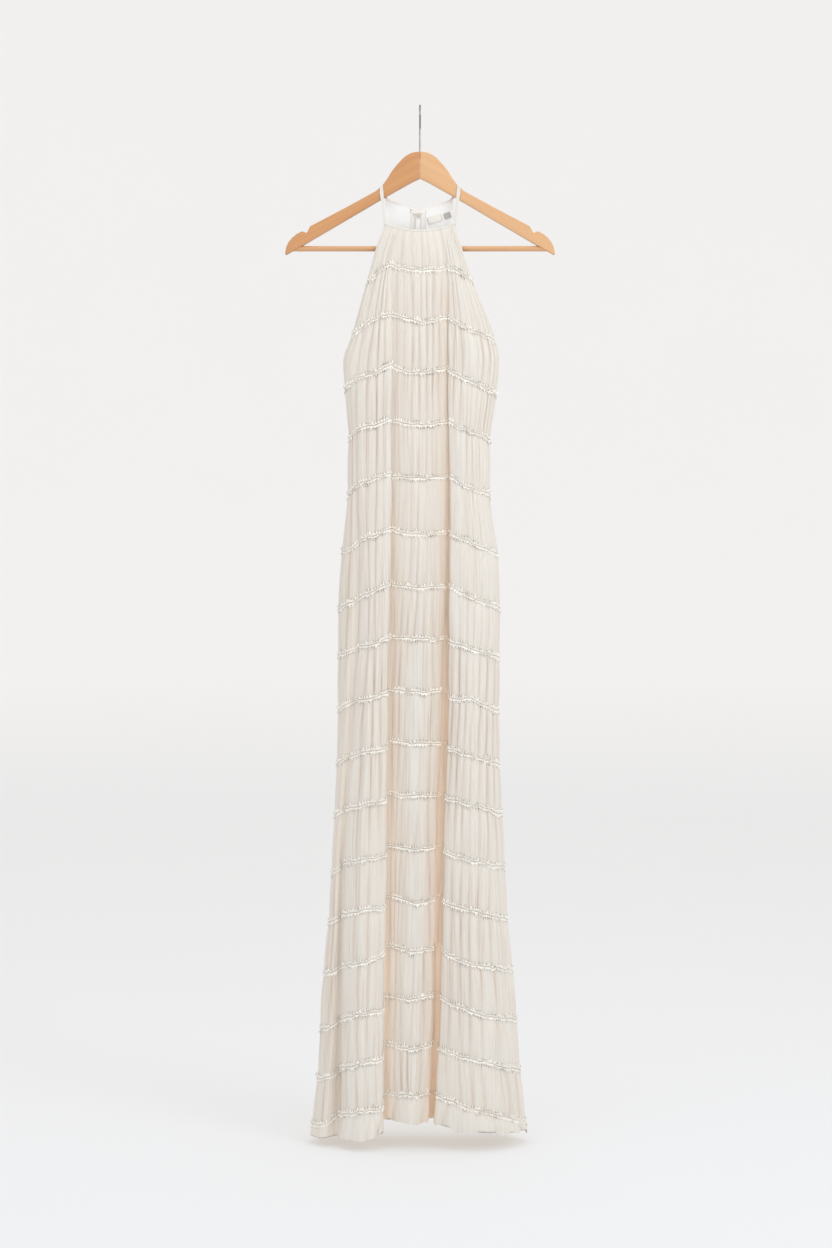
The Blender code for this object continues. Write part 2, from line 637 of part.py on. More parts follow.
def build_trims(front, back, materials):
    """Each row's trim: whole rings low down, open at the zip above, and parted at the armholes."""
    material = materials["ruffle"]
    middle = back_column("centre_back")
    clear = EDGE_BINDING_WIDTH + 2.0 * PIECE_GAP
    for number, level in enumerate(entry for entry in LEVELS if entry[1] == "trim"):
        name = level[0]
        ahead = add_waves(trim_sections(front, name), number)
        behind = add_waves(trim_sections(back, name), number + 2.0)
        trim = "trim_" + name[-2:]
        if name in OPEN_ROWS:
            ahead = inset_ring(inset_ring(ahead, 0, clear), 1, clear)
            tube(trim + "_front", ahead, material)
            right = inset_ring(inset_ring(behind[:middle + 1], 0, clear), 1, PIECE_GAP)
            tube(trim + "_back_right", right, material)
            left = inset_ring(inset_ring(behind[middle:], 0, PIECE_GAP), 1, clear)
            tube(trim + "_back_left", left, material)
            continue
        for ring in (ahead[0], ahead[-1]):
            for point in ring:
                point.y = 0.0
        if name in ZIPPED_ROWS:
            around = behind[middle:-1] + ahead + behind[1:middle + 1]
            around = inset_ring(inset_ring(around, 0, PIECE_GAP), 1, PIECE_GAP)
            tube(trim, around, material)
        else:
            tube(trim, ahead + behind[1:-1], material, closed=True)


def edge_binding(name, panel, column, beside, last_level, material):
    """A narrow binding on the outside of an armhole edge."""
    rings = []
    for index in range(2 * last_level + 1):
        edge = panel.outer[index][column]
        inward = panel.outer[index][beside] - edge
        inward = inward * (EDGE_BINDING_WIDTH / inward.length)
        near = Vector((inward.y, -inward.x, 0.0)).normalized()
        if near.dot(panel.out(index // 2, column)) < 0.0:
            near.negate()
        seat = near * EDGE_BINDING_SEAT
        skin = near * (EDGE_BINDING_SEAT + EDGE_BINDING_THICK)
        rings.append([edge + seat, edge + skin, edge + inward + skin, edge + inward + seat])
    tube(name, rings, material)


def top_binding(name, row, inner_row, material):
    """A bar of binding that caps a neckline."""
    rings = []
    spare = (BINDING_THICK - WALL) * 0.5
    for outer, inner in zip(row, inner_row):
        across = (outer - inner).normalized() * spare
        low = Vector((0.0, 0.0, BINDING_SEAT))
        high = Vector((0.0, 0.0, BINDING_SEAT + BINDING_HEIGHT))
        near, far = inner - across, outer + across
        rings.append([near + low, far + low, far + high, near + high])
    tube(name, rings, material)


def build_bindings(front, back, materials):
    """Neckline and armhole bindings."""
    cloth = materials["chiffon"]
    middle = back_column("centre_back")
    top_binding("front_neck_binding", front.base[0], front.inner[0], cloth)
    right_top = [row[:middle + 1] for row in (back.base[0], back.inner[0])]
    right_top = moved_x(right_top, -1, SEAM_GAP * 0.5)
    top_binding("back_neck_binding_right", right_top[0], right_top[1], cloth)
    left_top = [row[middle:] for row in (back.base[0], back.inner[0])]
    left_top = moved_x(left_top, 0, -SEAM_GAP * 0.5)
    top_binding("back_neck_binding_left", left_top[0], left_top[1], cloth)
    underarm = front.level(SEAM_LEVEL)
    edge_binding("armhole_binding_front_left", front, 0, 1, underarm, cloth)
    edge_binding("armhole_binding_front_right", front, -1, -2, underarm, cloth)
    underarm = back.level(SEAM_LEVEL)
    edge_binding("armhole_binding_back_right", back, 0, 1, underarm, cloth)
    edge_binding("armhole_binding_back_left", back, -1, -2, underarm, cloth)


def arm_top(x):
    """Height of the hanger's upper edge at a distance from the middle."""
    for a, b in zip(HANGER_OUTLINE, HANGER_OUTLINE[1:]):
        if a[0] <= x <= b[0]:
            return mix(a[1], b[1], (x - a[0]) / (b[0] - a[0]))
    return HANGER_OUTLINE[0][1]


def build_straps(front, back, materials):
    """Each strap runs from a front neck corner over the hanger's arm to a back neck corner."""
    lift = BINDING_SEAT + BINDING_HEIGHT + PIECE_GAP
    rest_z = arm_top(STRAP_X)
    slope = math.atan2(arm_top(STRAP_X - 2.0) - arm_top(STRAP_X + 2.0), 4.0)
    face = ARM_THICK * 0.5 + PIECE_GAP + STRAP_THICK * 0.5
    above = (PIECE_GAP + STRAP_THICK * 0.5) / math.cos(slope)
    corners = [
        ("strap_left", -1.0, front.base[0][0], back.base[0][-1]),
        ("strap_right", 1.0, front.base[0][-1], back.base[0][0]),
    ]
    for name, side, front_end, back_end in corners:
        front_y = front_end.y + STRAP_SEAT_Y
        back_y = back_end.y - WALL * 0.5
        front_x, back_x = abs(front_end.x), abs(back_end.x)
        halfway_z = mix(front_end.z, rest_z, 0.55)
        bend_z = rest_z - STRAP_BEND
        corner_y, corner_z = face - STRAP_CORNER, rest_z + above - STRAP_CORNER
        flat_y, flat_z = face - STRAP_SHOULDER, rest_z + above
        path = [
            # x, y, z, share of the arm's slope, turn of the outer face from the front over the top, width
            (front_x - STRAP_INSET, front_y, front_end.z + lift, 0.0, 0.0, STRAP_END_WIDTH),
            (mix(front_x, STRAP_X, 0.6), -face - STRAP_SWAY, halfway_z, 0.0, 0.0, STRAP_END_WIDTH),
            (STRAP_X, -face, rest_z - STRAP_LEAVES, 0.3, 0.0, STRAP_TOP_WIDTH),
            (STRAP_X, -face, bend_z, 1.0, 5.0, STRAP_TOP_WIDTH),
            (STRAP_X, -corner_y, corner_z, 1.0, 45.0, STRAP_TOP_WIDTH),
            (STRAP_X, -flat_y, flat_z, 1.0, 90.0, STRAP_TOP_WIDTH),
            (STRAP_X, flat_y, flat_z, 1.0, 90.0, STRAP_TOP_WIDTH),
            (STRAP_X, corner_y, corner_z, 1.0, 135.0, STRAP_TOP_WIDTH),
            (STRAP_X, face, bend_z, 0.9, 175.0, STRAP_TOP_WIDTH),
            (back_x - STRAP_INSET, back_y, back_end.z + lift, 0.2, 180.0, STRAP_END_WIDTH),
        ]
        rings = []
        for x, y, z, lean, turn, width in path:
            tilt = slope * lean
            across = Vector((side * math.cos(tilt), 0.0, -math.sin(tilt))) * width * 0.5
            up = Vector((side * math.sin(tilt), 0.0, math.cos(tilt)))
            angle = math.radians(turn)
            skin = (Vector((0.0, -1.0, 0.0)) * math.cos(angle) + up * math.sin(angle)) * STRAP_THICK * 0.5
            centre = Vector((side * x, y, z))
            rings.append([centre - across - skin, centre + across - skin,
                          centre + across + skin, centre - across + skin])
        tube(name, rings, materials["chiffon"])


def inner_plane_y(back, index, low_x, high_x):
    """The frontmost y of the back's inner skin between two x at one level."""
    row = back.inner[index]
    return min(p.y for p in row if low_x <= p.x <= high_x)


def build_zip_tapes(back, materials):
    """Two flat tapes behind the closed zip, from the neck to below the hips."""
    last = back.level(ZIP_END_LEVEL)
    middle = back_column("centre_back")
    for name, side in (("zip_tape_left", -1.0), ("zip_tape_right", 1.0)):
        rings = []
        for index in range(last + 1):
            reach = TAPE_WIDTH + TAPE_SPARE
            y = inner_plane_y(back, index, CENTRE_BACK_X - reach, CENTRE_BACK_X + reach) - PIECE_GAP
            z = back.base[index][middle].z - (TAPE_TOP_DROP if index == 0 else 0.0)
            near = CENTRE_BACK_X + side * SEAM_GAP * 0.5
            far = near + side * TAPE_WIDTH
            rings.append([Vector((near, y, z)), Vector((far, y, z)),
                          Vector((far, y - TAPE_THICK, z)), Vector((near, y - TAPE_THICK, z))])
        tube(name, rings, materials["zip_tape"])


def facing_edge(row, x):
    """The point of a row of the back at a given x."""
    for a, b in zip(row, row[1:]):
        if min(a.x, b.x) <= x <= max(a.x, b.x):
            return mix(a, b, (x - a.x) / (b.x - a.x))
    return row[0].copy()


def build_facings(back, materials):
    """White facings inside the back neck, from the tapes to the armhole edges."""
    levels = [back.inner[0], back.inner[1]]
    row_below = back.inner[2]
    share = (FACING_BOTTOM_Z - BACK_YOKE_Z) / (row_below[back_column("centre_back")].z - BACK_YOKE_Z)
    levels.append([mix(a, b, share) for a, b in zip(levels[1], row_below)])
    clear = SEAM_GAP * 0.5 + TAPE_WIDTH + PIECE_GAP
    for side, sign in (("right", 1.0), ("left", -1.0)):
        near_rows = []
        far_rows = []
        for number, row in enumerate(levels):
            start = facing_edge(row, CENTRE_BACK_X + sign * clear)
            if side == "right":
                line = row[:back_column("right_fold") + 1] + [start]
            else:
                line = [start] + row[back_column("left_fold"):]
            seat = Vector((0.0, -FACING_SEATS[number], 0.0))
            near_rows.append([p + seat for p in line])
            far_rows.append([p + seat + Vector((0.0, -FACING_THICK, 0.0)) for p in line])
        wall("back_neck_facing_" + side, near_rows, far_rows, materials["lining"])


def build_labels(back, materials):
    """A blank neck label and a blank size tab, sewn flat on the right facing."""
    front_y = inner_plane_y(back, 0, *LABEL_SPAN) - 2.0 * PIECE_GAP - FACING_THICK
    for name, x, z, width, height, tilt in LABELS:
        angle = math.radians(tilt)
        along = Vector((math.cos(angle), 0.0, math.sin(angle))) * width * 0.5
        up = Vector((-math.sin(angle), 0.0, math.cos(angle))) * height * 0.5
        rings = []
        for y in (front_y, front_y - LABEL_THICK):
            centre = Vector((x, y, z))
            rings.append([centre - along - up, centre + along - up, centre + along + up, centre - along + up])
        finish = "label_white" if name == "neck_label" else "label_grey"
        tube(name, rings, materials[finish])


def wire_rings(path, radius, count):
    """Round sections along a path in one plane of constant x."""
    rings = []
    for index, point in enumerate(path):
        before = path[max(index - 1, 0)]
        after = path[min(index + 1, len(path) - 1)]
        along = (after - before).normalized()
        side = Vector((1.0, 0.0, 0.0))
        if abs(along.x) > 0.5:
            side = Vector((0.0, 1.0, 0.0))
        up = along.cross(side).normalized()
        side = up.cross(along).normalized()
        turns = [k * math.tau / count for k in range(count)]
        rings.append([point + (side * math.cos(turn) + up * math.sin(turn)) * radius for turn in turns])
    return rings


def build_fastener(back, materials):
    """A small wire hook and eye at the top of the zip."""
    tape_y = inner_plane_y(back, 0, *FASTENER_SPAN) - PIECE_GAP - TAPE_THICK
    y = tape_y - PIECE_GAP - FASTENER_WIRE
    middle_z = BACK_NECK_MIDDLE_Z - FASTENER_DROP
    eye = []
    for step in range(13):
        angle = math.radians(-60.0 + step * 25.0)
        eye.append(Vector((EYE_X + EYE_RADIUS * math.cos(angle), y, middle_z + EYE_RADIUS * math.sin(angle))))
    tube("fastener_eye", wire_rings_flat(eye, FASTENER_WIRE), materials["brass_wire"])
    catch = [Vector((CATCH_END_X, y, middle_z + CATCH_RADIUS))]
    for step in range(9):
        angle = math.radians(90.0 + step * 22.5)
        place = (CATCH_X + CATCH_RADIUS * math.cos(angle), y, middle_z + CATCH_RADIUS * math.sin(angle))
        catch.append(Vector(place))
    catch.append(Vector((CATCH_END_X, y, middle_z - CATCH_RADIUS)))
    tube("fastener_hook", wire_rings_flat(catch, FASTENER_WIRE), materials["brass_wire"])


def wire_rings_flat(path, radius):
    """Round sections along a path that lies in a plane of constant y."""
    rings = []
    deep = Vector((0.0, 1.0, 0.0))
    turns = [k * math.tau / FASTENER_SIDES for k in range(FASTENER_SIDES)]
    for index, point in enumerate(path):
        before = path[max(index - 1, 0)]
        after = path[min(index + 1, len(path) - 1)]
        side = (after - before).normalized().cross(deep).normalized()
        rings.append([point + (side * math.cos(turn) + deep * math.sin(turn)) * radius for turn in turns])
    return rings


def hook_path():
    """Middle line of the hook wire: round the rail, then a bend into the upright stem."""
    ring = RAIL_RADIUS + WIRE_RADIUS
    bend = HOOK_BEND_RADIUS
    stem_top = -RAIL_RADIUS - math.sqrt(ring * ring + 2.0 * ring * bend)
    meet = 180.0 + math.degrees(math.atan2(-stem_top - RAIL_RADIUS, bend))
    path = []
    steps = 20
    for step in range(steps + 1):
        angle = math.radians(mix(HOOK_TIP_ANGLE, meet, step / steps))
        path.append(Vector((0.0, ring * math.cos(angle), -RAIL_RADIUS + ring * math.sin(angle))))
    bend_steps = 5
    start = meet - 180.0
    for step in range(1, bend_steps + 1):
        angle = math.radians(mix(start, 0.0, step / bend_steps))
        path.append(Vector((0.0, -bend + bend * math.cos(angle), stem_top + bend * math.sin(angle))))
    crown_z = HANGER_OUTLINE[0][1]
    path.append(Vector((0.0, 0.0, mix(stem_top, crown_z, 0.5))))
    path.append(Vector((0.0, 0.0, crown_z)))
    path.append(Vector((0.0, 0.0, crown_z - STEM_DEPTH + HOLE_CLEARANCE)))
    return path


def cylinder_cutter(name, radius, low, high):
    """A round cutter between two points, hidden from the build."""
    path = [low, high]
    cutter = tube(name, wire_rings(path, radius, HOLE_SIDES), None)
    cutter.hide_render = True
    cutter.display_type = "WIRE"
    return cutter


def build_hanger(materials):
    """Two glued halves of wood, a round bar and a wire hook."""
    crown_z = HANGER_OUTLINE[0][1]
    hole_top = Vector((0.0, 0.0, crown_z + CUTTER_SPARE))
    hole_bottom = Vector((0.0, 0.0, crown_z - STEM_DEPTH))
    stem_hole = cylinder_cutter("stem_hole", WIRE_RADIUS + HOLE_CLEARANCE, hole_top, hole_bottom)
    half_thick = ARM_THICK * 0.5
    for side, sign in (("left", -1.0), ("right", 1.0)):
        outline = [(max(x, HALF_GAP), z) for x, z in HANGER_OUTLINE]
        rings = [[Vector((sign * x, y, z)) for x, z in outline] for y in (-half_thick, half_thick)]
        arm = tube("hanger_arm_" + side, rings, materials["wood"])
        inner_end = Vector((sign * BAR_SOCKET_X, 0.0, BAR_Z))
        outer_end = Vector((sign * (BAR_HALF_LENGTH + HOLE_CLEARANCE), 0.0, BAR_Z))
        socket = cylinder_cutter("bar_socket_" + side, BAR_RADIUS + HOLE_CLEARANCE, inner_end, outer_end)
        rounding = arm.modifiers.new("rounded_edges", "BEVEL")
        rounding.width = ARM_EDGE * MM
        rounding.segments = 1
        rounding.limit_method = "ANGLE"
        rounding.angle_limit = math.radians(60.0)
        for cutter in (stem_hole, socket):
            cut = arm.modifiers.new("cut_" + cutter.name, "BOOLEAN")
            cut.operation = "DIFFERENCE"
            cut.solver = "EXACT"
            cut.object = cutter
    bar = [Vector((-BAR_HALF_LENGTH, 0.0, BAR_Z)), Vector((BAR_HALF_LENGTH, 0.0, BAR_Z))]
    tube("hanger_bar", wire_rings(bar, BAR_RADIUS, BAR_SIDES), materials["wood"])
    tube("hanger_hook", wire_rings(hook_path(), WIRE_RADIUS, WIRE_SIDES), materials["steel"])


def main():
    """Build every piece of the dress and its hanger."""
    clear_scene()
    materials = make_materials()
    front = front_panel()
    back = back_panel()
    build_panels(front, back, materials)
    build_trims(front, back, materials)
    build_bindings(front, back, materials)
    build_straps(front, back, materials)
    build_zip_tapes(back, materials)
    build_facings(back, materials)
    build_labels(back, materials)
    build_fastener(back, materials)
    build_hanger(materials)


main()
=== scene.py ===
"""Looks of the ruffle-tiered halter dress on its wooden hanger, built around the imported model.

Tables are in millimetres in the model's own frame and are turned into metres where a mesh is made.
The origin is where the hook rests on a rail, +Z is up and the front faces -Y.
"""
import math

import bmesh
import bpy
import numpy as np
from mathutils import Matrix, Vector

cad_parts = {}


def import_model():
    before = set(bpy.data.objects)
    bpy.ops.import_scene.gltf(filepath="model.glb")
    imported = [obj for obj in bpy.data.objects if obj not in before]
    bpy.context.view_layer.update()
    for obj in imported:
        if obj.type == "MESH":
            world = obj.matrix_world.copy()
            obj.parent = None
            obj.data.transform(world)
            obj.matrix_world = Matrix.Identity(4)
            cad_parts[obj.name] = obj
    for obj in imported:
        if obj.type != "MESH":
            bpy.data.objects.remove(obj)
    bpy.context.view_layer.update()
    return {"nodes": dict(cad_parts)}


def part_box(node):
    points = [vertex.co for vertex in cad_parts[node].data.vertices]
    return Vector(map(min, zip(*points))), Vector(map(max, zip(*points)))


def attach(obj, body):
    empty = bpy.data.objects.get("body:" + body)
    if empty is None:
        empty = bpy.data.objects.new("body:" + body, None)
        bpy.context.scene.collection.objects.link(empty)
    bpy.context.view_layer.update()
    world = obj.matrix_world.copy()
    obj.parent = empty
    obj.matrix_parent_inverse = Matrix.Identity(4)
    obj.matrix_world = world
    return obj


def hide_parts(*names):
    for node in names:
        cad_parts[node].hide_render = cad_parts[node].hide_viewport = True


MM = 0.001

# Camera, floor and backdrop
CAMERA_X = -6.6
CAMERA_Z = -852.8
CAMERA_DISTANCE = 4000.0
VIEW_HEIGHT = 2057.0
SENSOR = 36.0
FLOOR_Z = -1706.0
ROOM_RADIUS = 8900.0
ROOM_BEND = 3000.0
ROOM_HEIGHT = 8200.0
GLOW_RISE = 600.0
FLOOR_GLOW, WALL_GLOW = 0.539, 0.624

# Grids of the cloth
FRONT_COLUMNS = 580
BACK_COLUMNS = 560
TIER_STEPS = (0.0, 0.05, 0.16, 0.3, 0.44, 0.58, 0.72, 0.85, 0.95)
CENTRE_BACK_X = -3.0
FOLD_LEAN = 0.16
FRONT_FOLD_LEAN = 0.08

# Puff of the tiers, the gathers that each tier has of its own and the pleats that run through all of them
PUFF_HEIGHT = 1.6
FINE_PITCH, FINE_HEIGHT = 3.6, 0.55
MEDIUM_PITCH, MEDIUM_HEIGHT = 8.0, 1.3
PLEAT_PITCH, PLEAT_HEIGHT = 15.0, 3.4
PLEATS = 24
PLEAT_RUN = 420.0
YOKE_SOFTNESS = (0.55, 0.8, 0.9)
BROAD_PITCH, BROAD_HEIGHT = 27.0, 2.2
HEM_PITCH, HEM_HEIGHT = 30.0, 7.2
HEM_WAVES = ((4.2, 19.0), (1.4, 5.0))
HEM_SUPPORT, HEM_TURN, HEM_RISES = 0.15, 1.2, (0.2, 5.0)
EDGE_TAPER = 4.0
DRAWN_SHARE, HEM_DRAWN_SHARE = 0.25, 0.3
# DIP_SHARES weigh the pleats', medium and fine gathers' valleys in their painted shade; FOLD_TOP_Z and
# FOLD_FULL_Z set how the fold value, which paints warm shade and flattens the trims, grows down the dress;
# the RECESS values set where painted glow fills the deep folds.
DIP_SHARES = (0.9, 0.5, 0.16)
FOLD_TOP_Z, FOLD_FULL_Z = -230.0, -1050.0
FOLD_SOFT_EDGE = 4.5
RECESS_START, RECESS_RUN, RECESS_GAIN = 5.0, 24.0, 2.0

# Frayed ruffle trims
FRILL_STEP = 0.6
FRILL_SHARES = (0.0, 0.3, 0.6, 1.0)
FRILL_PART = 0.9
FRILL_GAP = -0.5
TUFT_REACH = 4.0
FRILL_SEAT = 0.4
FRILL_HEIGHT = 6.0
FRILL_REACH = 2.0
FRILL_WAVE = 1.6
PRESSED_SHADE = 0.4
FRILL_LOOP = 1.5
FRILL_PITCH = 4.7
FRILL_JITTER = 0.26
FRILL_TAPER = 3.0
FRAY_EVERY = 0.5
FRAY_LENGTH = (0.7, 2.4)
FRAY_WIDTH = 0.34

# Bindings, straps, facings and labels
WEAVE_PITCH = 0.0006
BINDING_HEIGHT = 3.3
BINDING_THICK = 2.6
BINDING_SEAT = 0.5
EDGE_BINDING_WIDTH = 2.2
EDGE_BINDING_THICK = 1.3
STRAP_TOP_WIDTH = 6.6
STRAP_END_WIDTH = 4.4
STRAP_THICK = 1.1
STRAP_X = 63.6
PIECE_GAP = 0.3
WALL = 1.8
STRIP_WANDER = 0.12
STRIP_BOTTOM_Z = -236.0
LABEL_TILTS = {"neck_label": 17.0, "size_tab": 20.0}
LABEL_SIZES = {"neck_label": (23.4, 11.6), "size_tab": (11.2, 9.6)}

# Outline of the dress seen from the front
SIDES = [
    # z, left x, right x
    (-152, -57, 54), (-196, -58.3, 58.2), (-230, -70.4, 67.1), (-296, -89, 89.8),
    (-385, -114.5, 123.6), (-419, -126.6, 130.4), (-469, -123.9, 126.9), (-558, -117, 115.4),
    (-651, -120, 116.8), (-740, -129.5, 128.5), (-830, -134.8, 131.8), (-1003, -135.1, 129.5),
    (-1175, -141.4, 135.8), (-1262, -145.8, 140.6), (-1347, -150.6, 145), (-1431, -158.5, 153.3),
    (-1515, -164.1, 159.9), (-1600, -168.8, 166.3), (-1672, -178, 174.2), (-1700, -182, 178.2),
]

# Half the width of the open armhole, front to back; the seam closes it at the underarm
ARMHOLE = [
    # z, front edge to middle plane, back edge to middle plane, back edge set in
    (-152, 11.5, 9.6, 0), (-196, 11.5, 9.6, 1.6), (-230, 11, 9.4, 1.8), (-296, 9, 8, 1.6),
    (-385, 4, 4, 1.2), (-419, 0.15, 0.15, 0), (-1700, 0.15, 0.15, 0),
]
UNDERARM_Z = -419.0

# Largest folds of the front: where each lies, how far it goes in and how far the cloth is drawn into boxes
FRONT = [
    # z, depth of the lobes, flank fold x, in, left fold x, in, right fold x, in, boxed
    (-196, 13, -46, 1, -32, 0.6, 34, 0.6, 0),
    (-230, 17, -57, 3, -40, 1.5, 42, 1.5, 0),
    (-296, 22, -76, 7, -49, 4, 50.5, 3, 0),
    (-385, 28, -96, 10, -49, 4, 51.5, 4.5, 0),
    (-419, 30, -103, 11, -48.5, 4.5, 51.5, 5, 0),
    (-469, 32, -106, 12, -50, 5, 50.5, 5.5, 0),
    (-558, 35, -105, 13, -50.5, 6, 52, 7, 0.1),
    (-651, 38, -104, 14, -51, 7.5, 53, 9, 0.2),
    (-740, 44, -101, 15, -52, 9.5, 53.5, 12, 0.3),
    (-830, 50, -100, 17, -53.5, 12, 52.5, 16, 0.45),
    (-1003, 56, -111, 22, -56, 16, 50, 21, 0.7),
    (-1262, 63, -127, 30, -59, 20, 41, 26, 0.9),
    (-1431, 69, -130, 36, -62, 24, 38.5, 31, 1),
    (-1600, 74, -132, 41, -64, 27, 32, 37, 1),
    (-1700, 78, -136, 44, -64, 30, 25.5, 41, 1),
]

# Largest folds of the back, seen from the front's side
BACK = [
    # z, depth of the lobes, right fold x, in, left fold x, in, boxed
    (-152, 10, 30, 0, -31, 0, 0),
    (-196, 10, 31, 0, -33, 0, 0),
    (-230, 11, 33, 0.4, -36, 0.4, 0),
    (-296, 17, 37, 2.5, -41, 3, 0),
    (-385, 23, 42, 4, -47, 4.5, 0),
    (-419, 26, 45, 5, -50, 5.5, 0),
    (-469, 29, 46, 6, -51, 7, 0),
    (-558, 32, 45, 8, -50, 8, 0.1),
    (-651, 35, 45, 11, -50, 10, 0.2),
    (-740, 41, 46, 15, -53, 14, 0.3),
    (-830, 47, 49, 20, -56, 18, 0.45),
    (-1003, 52, 54, 28, -60, 26, 0.7),
    (-1262, 58, 62, 36, -64, 33, 0.9),
    (-1431, 63, 68, 42, -70, 39, 1),
    (-1600, 68, 74, 47, -76, 43, 1),
    (-1700, 71, 78, 50, -80, 46, 1),
]

# Levels that run round the dress: where each sits at the middle and how far it hangs lower elsewhere
LEVELS = [
    # name, z at the middle, left side, left crest, left edge, right edge, right crest, right side, dip
    ("row_01", -271.5, 24, -8, -8, -2.5, 4, 19, 5),
    ("row_02", -356.5, 24, -5, -9, -3.5, 12, 33, 9.5),
    ("row_03", -440.5, 26.5, 3, -13, 0, 14.5, 36.5, 10.5),
    ("row_04", -527, 22, 0.5, -9.5, -2.5, 9, 24, 6.5),
    ("row_05", -614.5, 28.5, 0, -9, 0, 13, 27.5, 5),
    ("row_06", -704.5, 31.5, 5, -5, 0, 16.5, 33, 5),
    ("row_07", -791.5, 35.5, 7.5, -2.5, 0, 18, 37, 4),
    ("row_08", -876.5, 30, 10.5, 1, 6.5, 18, 30, 3),
    ("row_09", -962.5, 31, 11.5, 5, 8, 14.5, 32.5, 5),
    ("row_10", -1048, 35.5, 11, 4.5, 8, 17.5, 35.5, 6.5),
    ("row_11", -1132.5, 36.5, 12.5, 8, 5, 14, 33, 6.5),
    ("row_12", -1220, 46, 12.5, 10, 2, 17, 32.5, 9.5),
    ("row_13", -1304.5, 40.5, 13.5, 9, 0.5, 15, 35.5, 13),
    ("row_14", -1384, 43.5, 16.5, 7, 2, 19.5, 38.5, 13),
    ("row_15", -1462.5, 58, 22.5, 16, -0.5, 19.5, 42.5, 13),
    ("row_16", -1541, 59.5, 24, 16.5, 0.5, 17.5, 46.5, 9.5),
    ("row_17", -1619, 58, 22, 20.5, 1.5, 18, 52, 8),
    ("hem", -1664, 31, 22.5, 17.5, 2.5, 11.5, 22.5, 6),
]
OPEN_ROWS = ("row_01", "row_02")
ZIPPED_ROWS = ("row_03", "row_04", "row_05", "row_06")

# Stations across each side
LEVEL_COLUMNS = ("left_side", "left_crest", "left_edge", "right_edge", "right_crest", "right_side", "dip")
FRONT_STATIONS = [
    # name, puff, shade in the fold, share of each column of LEVELS
    ("side_left", 0.5, 0.05, {"left_side": 1}),
    ("flank", 0.6, 0.08, {"left_side": 0.75, "left_crest": 0.25}),
    ("flank_fold", 0.3, 0.12, {"left_side": 0.4, "left_crest": 0.6}),
    ("left_outer", 0.7, 0.04, {"left_side": 0.25, "left_crest": 0.75}),
    ("left_crest", 1, 0, {"left_crest": 1}),
    ("left_edge", 0.7, 0.08, {"left_edge": 1}),
    ("left_fold", 0, 0.45, {"left_edge": 0.25, "dip": 0.75}),
    ("middle_left", 0.6, 0.24, {"dip": 0.4}),
    ("middle_crest", 1, 0, {}),
    ("middle_right", 0.7, 0.4, {"dip": 0.4}),
    ("right_floor", 0.15, 0.9, {"right_edge": 0.1, "dip": 0.65}),
    ("right_fold", 0, 1, {"right_edge": 0.25, "dip": 0.75}),
    ("right_edge", 0.6, 0.12, {"right_edge": 1}),
    ("right_crest", 1, 0, {"right_crest": 1}),
    ("right_outer", 0.9, 0, {"right_crest": 0.4, "right_side": 0.6}),
    ("side_right", 0.5, 0.05, {"right_side": 1}),
]
BACK_STATIONS = [
    ("side_right", 0.5, 0.05, {"right_side": 1}),
    ("right_outer", 0.9, 0, {"right_crest": 0.4, "right_side": 0.6}),
    ("right_crest", 1, 0, {"right_crest": 1}),
    ("right_edge", 0.6, 0, {"right_edge": 1}),
    ("right_fold", 0, 0.7, {"right_edge": 0.25, "dip": 0.75}),
    ("middle_right", 0.6, 0.2, {"dip": 0.6}),
    ("centre_back", 0.3, 0, {}),
    ("middle_left", 0.6, 0.2, {"dip": 0.6}),
    ("left_fold", 0, 0.7, {"left_edge": 0.25, "dip": 0.75}),
    ("left_edge", 0.6, 0, {"left_edge": 1}),
    ("left_crest", 1, 0, {"left_crest": 1}),
    ("left_outer", 0.9, 0.05, {"left_side": 0.6, "left_crest": 0.4}),
    ("side_left", 0.5, 0.05, {"left_side": 1}),
]


# Necklines
FRONT_NECK_MIDDLE_Z = -208.6
FRONT_NECK_CORNER_Z = -196.0
BACK_NECK_MIDDLE_Z = -173.0
BACK_NECK_CORNER_Z = -152.4

# Half-outline of the hanger's wood, from the crown to the tip and back along the underside
HANGER_OUTLINE = [
    # x, z
    (0, -75), (10.5, -76.2), (19, -79.6), (26.7, -84.9), (36.6, -95.2), (45.8, -106.6),
    (53.4, -118.6), (60.6, -128.9), (67, -135.2), (74, -140.7), (121, -166.5), (181.2, -198.2),
    (183.5, -203.4), (187, -208.9), (190.8, -207.4), (194.5, -206.1), (203.5, -210.9), (211, -217.2),
    (217, -224.6), (220.5, -233), (222.2, -243), (220.6, -244.9), (208.8, -237.9), (194, -229.9),
    (121, -187.2), (60.6, -151.6), (14, -125.4), (0, -118.8),
]
CROWN_POINTS = 10
ARM_THICK = 12.0
ARM_ROUNDING = 2.2
HALF_GAP = 0.15
BAR_Z = -234.3
BAR_RADIUS = 4.5
BAR_HALF_LENGTH = 209.0
WIRE_RADIUS = 1.5
STEM_DEPTH = 12.0
HOLE_CLEARANCE = 0.3


def smooth(share):
    """Ease from 0 to 1."""
    return share * share * (3.0 - 2.0 * share)


def ease(share):
    """Ease from 0 to 1 and hold there."""
    return smooth(np.clip(share, 0.0, 1.0))


def mix(a, b, share):
    """The value that lies the given share of the way from a to b."""
    return a + (b - a) * share


